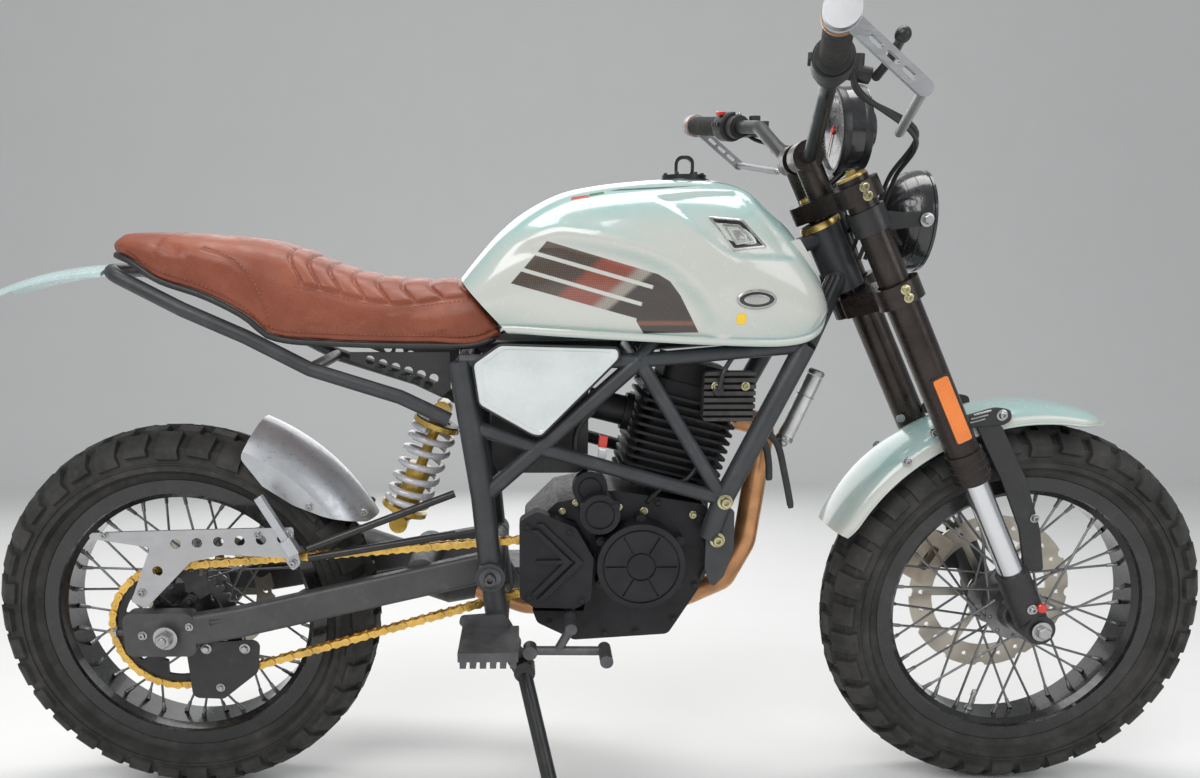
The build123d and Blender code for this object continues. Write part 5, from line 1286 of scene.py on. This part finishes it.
leg, link = Shape(), Shape()
plate(
    leg, (0, -112.2, 0), (1, 0, 0), (0, 0, 1), rounded([(184, 470), (206, 470), (214, 430), (200, 418), (190, 432)], 7),
    [(0, 0), (0, 2.6), (0.8, 3.6)]
)
leg.bolt((201, -116, 432), (0, -1, 0), 5.0, "cap")
a, b = Vector((156, -121, 540)), Vector((205, -121, 452))
along = (b - a).normalized()
wide = along.cross(Vector((0, 1, 0)))
SQUARE = ((-1, -1), (1, -1), (1, 1), (-1, 1))
TURNED_SQUARE = ((1, 1), (-1, 1), (-1, -1), (1, -1))
for size, start, end in ((6.5, 0.0, 1.0), (9.5, 0.76, 1.04)):
    link.loft([
        [a + (b - a) * t + wide * u * size + Vector((0, v * size, 0)) for u, v in SQUARE]
        for t in (start, end)
    ])
make("guard_leg", leg, "guard_alloy", "root", angle=35)
make("guard_link", link, "silver_plastic", "root", slot="guard_alloy", bevel=1.2)

hugger_skin = skin_of("hugger")
rivets = ((222, 512, 4.5, "cap"), (300, 492, 4.5, "cap"))
studs("hugger_rivets", hugger_skin, rivets + ((334, 500, 3.5, "cap"),), "steel_bolt", "bright_alloy")
studs("hugger_rivets_right", hugger_skin, rivets, "steel_bolt", "bright_alloy", 1)


# Front end

grips = Shape()
for flank in (-1, 1):
    tip, axis = on_bar(0, flank), on_bar(10, flank) - on_bar(0, flank)
    profile = [(0.5, 11.5), (0.5, 16.2), (2, 17.0), (8, 17.0)]
    for k in range(19):
        at = 10 + 5.6 * k
        profile += [(at, 17.0), (at + 3.4, 17.0), (at + 3.9, 15.6), (at + 5.1, 15.6)]
    profile += [(117, 17.0), (118, 22.0), (121, 22.5), (121.5, 21.0), (121.5, 11.5)]
    grips.lathe(tip, axis, profile, 36, loop=True)
make("grip_ribs", grips, "grip_rubber", "steering", replaces=("grips",), angle=30)

weights, copper = Shape(), Shape()
for flank in (-1, 1):
    tip, axis = on_bar(0, flank), on_bar(0, flank) - on_bar(10, flank)
    copper.lathe(tip, axis, [(3.0, 19), (3.0, 20.9), (6.4, 20.9), (6.4, 19)], 40, loop=True)
    weights.lathe(tip, axis, [(23.0, 16.5), (24.5, 19.2), (25.6, 17.0), (26.0, 11.0), (25.0, 9.5), (25.0, 0.1)], 40)
    weights.lathe(tip, axis, [(12.0, 20.0), (12.6, 20.8), (14.4, 20.8), (15.0, 20.0)], 40, loop=True)
make("weight_rings", copper, "copper_pipe", "steering", angle=35)
make("weight_caps", weights, "guard_alloy", "steering", angle=35)

controls, kill, screws = Shape(), Shape(), Shape()
for flank in (-1, 1):
    along = (on_bar(10, flank) - on_bar(0, flank)).normalized()
    across = Vector((1, 0, 0)) - along * along.x
    across.normalize()
    up = along.cross(across) * (1 if along.cross(across).z > 0 else -1)
    pod = on_bar(142, flank)
    controls.lathe(
        pod - along * 17, along, [(0, 23.6), (0, 25.2), (3, 25.6), (31, 25.6), (34, 25.2), (34, 23.6)], 36, loop=True
    )
    for k in (-1, 0, 1):
        base = pod + along * (10 * k) - across * 24.6 + up * 4
        controls.slab([base + along * 3.5 * u + up * 4 * v for u, v in TURNED_SQUARE], -across * 4.5)
    if flank > 0:
        base = pod - across * 18 + up * 19
        kill.slab([base + along * 9 * u + across * 6 * v for u, v in TURNED_SQUARE], up * 7)
    perch = on_bar(178, flank)
    controls.lathe(perch - along * 9, along, [(0, 18.2), (0, 19.6), (18, 19.6), (18, 18.2)], 30, loop=True)
    if flank > 0:
        fluid_box = [(-22, -17), (14, -17), (14, 19), (-22, 19)]
        controls.slab([perch + Vector((38 + x, y, 8)) for x, y in fluid_box], (0, 0, -24))
    for off in (5, -5):
        screws.bolt(perch + up * 19.5 + along * off, up, 3.4, "cap", washer=False)
make("control_pods", controls, "black_plastic", "steering", bevel=1.0, angle=35)
make("kill_switch", kill, "red_lens", "steering", slot="black_plastic", bevel=1.5)
make("perch_screws", screws, "steel_bolt", "steering", slot="bright_alloy")


# Instrument: bezel, dial and needle facing the rider

face = BAR_MID + Vector((50, 0, 40))
back = Vector((-1, 0, -0.08)).normalized()
dial_right = Vector((0, -1, 0))
dial_up = back.cross(dial_right)
dial_up *= 1 if dial_up.z > 0 else -1
bezel, dial, marks, needle = Shape(), Shape(), Shape(), Shape()
bezel.lathe(face, back, [(-8, 62.2), (-2, 64.0), (3, 64.0), (5, 62.0), (5, 56.5), (1, 55.5), (-2, 55.5)], 64, loop=True)
bezel.lathe(face, back, [(-40.6, 40), (-40.6, 58), (-38, 63.0), (-30, 63.4), (-28, 62.2)], 64, loop=True)
dial.lathe(face, back, [(0.3, 0.1), (0.3, 55), (1.0, 56)], 64)
for k in range(45):
    a = radians(225 - 270 * k / 44)
    long, half_w = (4, 0.45) if k % 4 else (8, 0.8)
    way = dial_right * cos(a) + dial_up * sin(a)
    side = way.cross(back) * half_w
    corners = ((51, 1), (51, -1), (51 - long, -1), (51 - long, 1))
    marks.slab([face + back * 1.1 + way * r + side * v for r, v in corners], back * 0.5)
plate(marks, face + back * 0.9 - dial_up * 22, dial_right, dial_up, oblong(44, 17, 3), [(0, 0), (0, -0.9)])
way = (dial_right * -0.62 + dial_up * -0.78).normalized()
side = way.cross(back)
corners = ((45, 0.4), (45, -0.4), (-9, -1.6), (-9, 1.6))
needle.slab([face + back * 2.4 + way * r + side * v for r, v in corners], back * 0.9)
needle.lathe(face, back, [(1, 5.5), (4, 5.0), (4.4, 0.1)], 24)
make("gauge_bezel", bezel, "black_metal", "steering", slot="gauge_black", angle=35)
make("gauge_dial", dial, "gauge_black", "steering")
make("gauge_marks", marks, "badge_silver", "steering", slot="gauge_black")
make("gauge_needle", needle, "red_lens", "steering", slot="gauge_black")


# Headlight: a shell, a reflector behind clear glass, and a bulb

LAMP = fork(LAMP_Z) + Vector((86, 0, 0))
shell, bowl, bulb, lens = Shape(), Shape(), Shape(), Shape()
shell.lathe(
    LAMP, (1, 0, 0),
    [
        (-54, 0.1), (-54, 20), (-50, 30), (-40, 46), (-26, 60), (-10, 70), (6, 75), (14, 76), (15, 74.5), (17, 74.5),
        (18, 76), (22, 76), (22, 71), (11, 70), (-2, 68), (-20, 52), (-34, 30), (-40, 0.1)
    ],
    72
)
for k in range(3):
    shell.ring(LAMP + Vector((-16 + 7 * k, 0, 0)), (1, 0, 0), 66.5 + 3.0 * k, 1.0, 64, 6)
bowl.lathe(LAMP, (1, 0, 0), [(10.4, 69.6), (4, 66), (-8, 57), (-20, 42), (-28, 26), (-31, 12), (-31, 0.1)], 72)
for k in range(14):
    a = 2 * pi * k / 14
    rib = [LAMP + Vector((x, r * cos(a), r * sin(a))) for x, r in ((5, 66), (-8, 56), (-19, 42), (-27, 26))]
    bowl.tube(rib, 0.9, 6)
bulb.lathe(LAMP + Vector((-31, 0, 0)), (1, 0, 0), [(0, 12), (4, 12), (5, 7), (22, 6.5), (28, 4), (30, 0.1)], 28)
lens.lathe(LAMP, (1, 0, 0), [(12, 69.4), (18, 69.2), (23, 58), (26.6, 38), (28.2, 16), (28.3, 0.1)], 72)
lens.lathe(LAMP, (1, 0, 0), [(26.0, 0.1), (25.9, 16), (24.4, 37), (21, 56), (16, 67), (12, 67.4)], 72)
make("headlight_shell", shell, "gauge_black", "steering", replaces=("headlight",), angle=32)
make("headlight_bowl", bowl, "mirror", "steering", slot="chrome", angle=40)
make("headlight_bulb", bulb, "badge_silver", "steering", slot="chrome", angle=40)
make("headlight_glass", lens, "lamp_glass", "steering", replaces=("headlight_lens",), angle=60)
screws = Shape()
for flank in (-1, 1):
    screws.bolt((LAMP.x, flank * 90.4, LAMP_Z), (0, flank, 0), 7, "hex")
make("headlight_bolts", screws, "steel_bolt", "steering", slot="bright_alloy")


# Fork trim

seals, caps, brass, steel = Shape(), Shape(), Shape(), Shape()
for flank in (-1, 1):
    foot = fork(560, flank * FORK_Y)
    seals.lathe(foot, FORK_UP, [(-7, 19.3), (-6, 23.5), (-0.5, 25.5), (-0.5, 19.3)], 40, loop=True)
    for k in range(3):
        seals.ring(foot + FORK_UP * (8 + 12 * k), FORK_UP, 27.9, 0.9, 48, 6)
    head = fork(YOKE_Z + 20, flank * FORK_Y)
    caps.lathe(head, FORK_UP, [(-0.5, 0.1), (-0.5, 21.5), (3, 21.0), (4.5, 18), (4.5, 10), (2.5, 9), (2.5, 0.1)], 40)
    caps.bolt(head + FORK_UP * 2.4, FORK_UP, 7.5, "hex", washer=False)
    for z in (YOKE_Z, 843):
        for off in (6, -7):
            brass.bolt(fork(z, flank * 126.2) + FORK_UP * off, (0, flank, 0), 5.0, "cap")
    steel.bolt((WHEELBASE, flank * 122.2, TYRE_R), (0, flank, 0), 11, "hex")
    steel.bolt(fork(352, flank * 118.4), (0, flank, 0), 5.5, "cap")
make("fork_seals", seals, "grip_rubber", "steering", angle=40)
make("fork_caps", caps, "gold_ring", "steering", slot="fork_bronze", angle=35)
make("fork_brass", brass, "brass_bolt", "steering", slot="fork_bronze", angle=35)
make("fork_steel", steel, "steel_bolt", "steering", slot="bright_alloy", angle=35)
ring = Shape()
ring.lathe(HEAD_TOP - FORK_UP * 26, FORK_UP, [(-6, 27), (-6, 30.5), (-1, 31.5), (4, 30.5), (4, 27)], 48, loop=True)
ring.lathe(HEAD_TOP + FORK_UP * 14.5, FORK_UP, [(0, 0.1), (0, 15), (5, 14), (6, 9), (3, 8), (3, 0.1)], 36)
make("head_rings", ring, "gold_ring", "steering", slot="fork_bronze", angle=35)

lamps, holders, red = Shape(), Shape(), Shape()
across = FORK_UP.cross(Vector((0, 1, 0)))
for flank in (-1, 1):
    at = fork(671, flank * 119)
    plate(holders, at, FORK_UP, across, oblong(112, 28, 5), [(0, 0), (0, flank * 3.0), (1, flank * 3.8)])
    plate(
        lamps, at + Vector((0, flank * 3.2, 0)), FORK_UP, across, oblong(106, 23, 4),
        [(0, 0), (0, flank * 3.4), (1.4, flank * 4.8), (5, flank * 5.2)]
    )
    holders.lathe(at - Vector((0, flank * 0.2, 0)), (0, -flank, 0), [(0, 0.1), (0, 6), (4, 6), (4, 0.1)], 16)
    red.lathe(fork(346, flank * 117.5) + Vector((12, 0, 8)), (0, flank, 0), [(0, 8), (3, 8), (4.5, 6.5), (5, 0.1)], 28)
make("side_reflectors", lamps, "orange_lens", "steering", slot="lamp_glass", angle=30)
make("reflector_holders", holders, "black_plastic", "steering", angle=35)
make("axle_reflectors", red, "red_lens", "steering", slot="lamp_glass", angle=35)


# Front fender: a shell whose lower edge rises towards its nose

FENDER_CROWN = ((-66, 352), (-44, 357), (-23, 356), (-10, 355), (0, 353), (9, 350.5), (16, 347), (18.5, 342))


def fender_ring(turn, out):
    """The shell's section where a spoke at this many degrees ahead of the fork's top meets it."""
    a = radians(turn)
    crown = curve(FENDER_CROWN, turn) + out
    nose = ease(turn, 8.0, 18.5)
    tail = ease(-turn, 60.0, 66.0)
    edge = 325.0 + 9.0 * nose + 3.0 * tail
    half = 66.0 * sqrt(max(0.05, 1 - 0.72 * nose * nose - 0.2 * tail * tail)) + out
    ring = []
    for k in range(33):
        t = -1 + k / 16
        y = half * sin(t * pi / 2)
        drop = (crown - edge) * (1 - max(0.0, cos(t * pi / 2)) ** 0.62)
        r = crown - drop
        ring.append((WHEELBASE + r * sin(a), y, TYRE_R + r * cos(a)))
    return ring


fender = Shape()
turns = [-65.5 + 84 * k / 64 for k in range(65)]
rings = []
for turn in turns:
    outer = fender_ring(turn, 0.0)
    inner = fender_ring(turn, -3.2)
    rings.append(outer + list(reversed(inner)))
fender.loft(rings)
for flank in (0, -1):
    edge = [Vector(fender_ring(turn, -1.4)[flank]) for turn in turns]
    fender.tube(edge, [1.2] + [2.6] * (len(edge) - 2) + [1.2], 8)
make("fender_shell", fender, "pearl_plain", "steering", slot="mint_plastic", replaces=("front_fender",), angle=50)

straps, slots = Shape(), Shape()
STRAP = [
    (1262, 640), (1302, 641), (1352, 552), (1384, 470), (1398, 400), (1366, 400), (1350, 470), (1312, 552), (1284, 600)
]
PLATE = rounded([(1236, 634), (1236, 652), (1290, 668), (1314, 664), (1317, 648), (1306, 640)], 8)
for flank in (-1, 1):
    origin = (0, flank * 70.4, 0)
    plate(straps, origin, (1, 0, 0), (0, 0, 1), rounded(STRAP, 8), [(0, 0), (0, -flank * 2.6), (1.2, -flank * 3.6)])
    plate(straps, origin, (1, 0, 0), (0, 0, 1), PLATE, [(0, 0), (0, -flank * 4.6), (1.6, -flank * 6.0)])
    for k in range(3):
        p = Vector((1248 + 4 * k, flank * 76.2, 643 + 6.5 * k))
        slots.tube([p, p + Vector((26, 0, 7))], 1.5, 8)
    for x, y, z, r in ((1300, 76.2, 656, 6.0), (1372, 73.6, 489, 5.0), (1200, 66.5, 626, 5.0), (1163, 66.5, 580, 5.0)):
        slots.bolt((x, flank * y, z), (0, flank, 0), r, "cap")
make("strap_plates", straps, "black_plastic", "steering", replaces=("fender_stays",), angle=35)
make("strap_fittings", slots, "steel_bolt", "steering", slot="bright_alloy", angle=60)


# Cables and wires, held by the parts that they run along

cables, loom = Shape(), Shape()


def run(shape, points, radius):
    shape.tube(smooth(points, 10), radius, 8)


for flank, offset in ((-1, 0), (-1, 9), (1, 0)):
    start = on_bar(150 + offset, flank) + Vector((24, 0, -6))
    run(cables, [
        start, start + Vector((26, -flank * 34, -24)), (1100, flank * 150, 1052 + offset),
        (1106 - offset, flank * 66, 1006), (1096 - offset, flank * 40, 940), (1082 - offset, flank * 36, 890),
    ], 3.4)
for k in range(3):
    run(loom, [
        (1035 - 6 * k, -70 + 6 * k, 868), (1006 - 6 * k, -74 + 6 * k, 800), (986 - 5 * k, -72 + 5 * k, 742),
        (958 - 5 * k, -66 + 5 * k, 690), (930 - 4 * k, -58 + 5 * k, 640),
    ], 3.2)
run(loom, [(868, -104, 516), (846, -98, 472), (852, -96, 430), (840, -92, 396)], 4.0)
run(loom, [(752, -86, 520), (780, -98, 552), (812, -96, 560), (836, -88, 590)], 3.6)
run(loom, [(660, -84, 566), (640, -92, 600), (644, -88, 640), (670, -80, 668)], 4.6)
make("loom", loom, "hose", "root", slot="black_plastic", angle=180)
make("control_cables", cables, "hose", "steering", slot="hose_rubber", angle=180)


# The spark plug's cap and lead, and two connectors

plug = Shape()
CYL_UP = Vector((sin(radians(14)), 0, cos(radians(14))))
cap_at = Vector((778, 0, 512)) + CYL_UP * 186 + Vector((24, -80, 0))
plug.lathe(
    cap_at, (0.15, -1, 0.25), [(0, 10), (6, 10), (8, 7.5), (26, 7), (30, 8.5), (34, 8.5), (36, 5), (36, 0.1)], 20
)
run(plug, [cap_at + Vector(off) for off in ((5, -34, 9), (14, -30, 40), (40, -16, 66), (86, 8, 70))], 3.6)
make("plug_lead", plug, "hose", "root", slot="black_plastic", angle=40)
for name, corners, material, slot in (
    ("connector_red", ((676, 628), (690, 626), (688, 608), (674, 610)), "red_lens", "black_plastic"),
    ("connector_white", ((676, 606), (688, 604), (686, 590), (674, 592)), "white_panel", "white_panel"),
):
    shape = Shape().slab([(x, -90, z) for x, z in corners], (0, 9, 0))
    make(name, shape, material, "root", slot=slot, bevel=1.5)


# The canister's ends, and the straps that hang beneath it

top, low_end = Vector((1018, -34, 712)), Vector((978, -34, 616))
down = (low_end - top).normalized()
ends = Shape()
ends.lathe(top - down * 1.0, -down, [(0, 12.6), (3, 13.6), (7, 13.2), (9, 10), (9, 0.1)], 32)
ends.lathe(low_end + down * 0.5, down, [(0, 12.6), (2, 13.8), (7, 13.8), (9, 9), (14, 8), (18, 4), (18, 0.1)], 32)
ends.ring(top + down * 34, down, 13.4, 1.2, 40, 6)
make("canister_ends", ends, "steel_bolt", "root", slot="bright_alloy", angle=35)
hanging = Shape()
for k, (dx, dz) in enumerate(((0, -52), (26, -98))):
    foot = Vector((930 + 12 * k, -44, 628))
    offsets = ((0, 0, 0), (14 + 0.3 * dx, 0, -26), (20 + 0.6 * dx, -2, -26 + 0.5 * dz), (22 + dx, -4, -30 + dz))
    path = smooth([foot + Vector(off) for off in offsets])
    hanging.tube(path, [4.5] + [5.5] * (len(path) - 2) + [4.0], 8, 0.45)
make("hanging_straps", hanging, "black_plastic", "root", angle=60)

regulator_places = ((848, 706, 4.5, "cap"), (893, 706, 4.5, "cap"))
studs("regulator_bolts", skin_of("regulator"), regulator_places, "brass_bolt", "bright_alloy")


# Studio

def stage():
    """A floor that curves up into a plain wall behind the machine."""
    floor = bpy.data.meshes.new("floor")
    bm = bmesh.new()
    size, steps = 9.0, 24
    rows = []
    for k in range(steps + 1):
        t = k / steps
        a = ease(t, 0.62, 1.0)
        y = -5.0 + 10.0 * min(t / 0.62, 1.0) + 2.2 * sin(a * pi / 2)
        z = 3.2 * (1 - cos(a * pi / 2)) + (3.0 if k == steps else 0.0)
        rows.append([bm.verts.new((x, y, z)) for x in (-size, size)])
    for a, b in zip(rows, rows[1:]):
        bm.faces.new((a[0], a[1], b[1], b[0]))
    bm.to_mesh(floor)
    bm.free()
    floor.shade_smooth()
    obj = linked("floor", floor)
    m = Nodes("floor", 0.7)
    m.color(m.mix(m.noise(300.0), (0.80, 0.80, 0.79), (0.83, 0.83, 0.825)))
    floor.materials.append(m.mat)
    obj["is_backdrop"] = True


stage()


def lamp(name, at, aim, size, power, color=(1, 1, 1), size_y=None):
    """A soft rectangular lamp at a point, in metres, turned towards another."""
    data = bpy.data.lights.new(name, "AREA")
    data.energy, data.size, data.color = power, size, color
    data.shape = "RECTANGLE"
    data.size_y = size_y or size
    obj = linked(name, data)
    obj.location = at
    obj.rotation_mode = "QUATERNION"
    obj.rotation_quaternion = (Vector(aim) - Vector(at)).to_track_quat("-Z", "Y")


lamp("key", (-1.6, -3.2, 3.2), (0, 0, 0.6), 2.6, 105)
lamp("fill", (3.0, -3.0, 1.8), (0.2, 0, 0.6), 2.2, 34, (0.95, 0.98, 1.0))
lamp("top", (0.0, 0.2, 3.4), (0, 0, 0.5), 3.0, 72, (1.0, 0.99, 0.97), 1.4)
lamp("back", (-0.5, 3.6, 2.4), (0, 0, 0.6), 3.0, 44)
world = bpy.data.worlds.new("studio")
bpy.context.scene.world = world
world.use_nodes = True
world.node_tree.nodes["Background"].inputs[0].default_value = (0.86, 0.88, 0.90, 1)
world.node_tree.nodes["Background"].inputs[1].default_value = 0.45


# Camera at the photograph's angle: where it stands beside the upright machine, and how it is turned

IMAGE_W = 1200
FOCAL_PX = 943.57
EYE = Vector((574.5, -1512.8, 903.0))
yaw, pitch, roll = 0.0074, -0.238, -0.0008
ahead = Vector((sin(yaw), cos(yaw), 0))
right = Vector((cos(yaw), -sin(yaw), 0))
above = Vector((0, 0, 1))
look = ahead * cos(pitch) + above * sin(pitch)
head_up = above * cos(pitch) - ahead * sin(pitch)
side_way = right * cos(roll) + head_up * sin(roll)
head_up = head_up * cos(roll) - right * sin(roll)
turn = TURN.to_3x3()
cam_data = bpy.data.cameras.new("camera")
cam_data.sensor_width = 36
cam_data.lens = FOCAL_PX * cam_data.sensor_width / IMAGE_W
cam_data.shift_x = 60 / IMAGE_W
cam_data.shift_y = 91 / IMAGE_W
cam = linked("camera", cam_data)
axes = Matrix((turn @ side_way, turn @ head_up, turn @ -look)).transposed()
cam.matrix_world = Matrix.Translation(BIKE @ EYE) @ axes.to_4x4()
bpy.context.scene.camera = cam
bpy.context.scene.view_settings.view_transform = "Standard"

low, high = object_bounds()
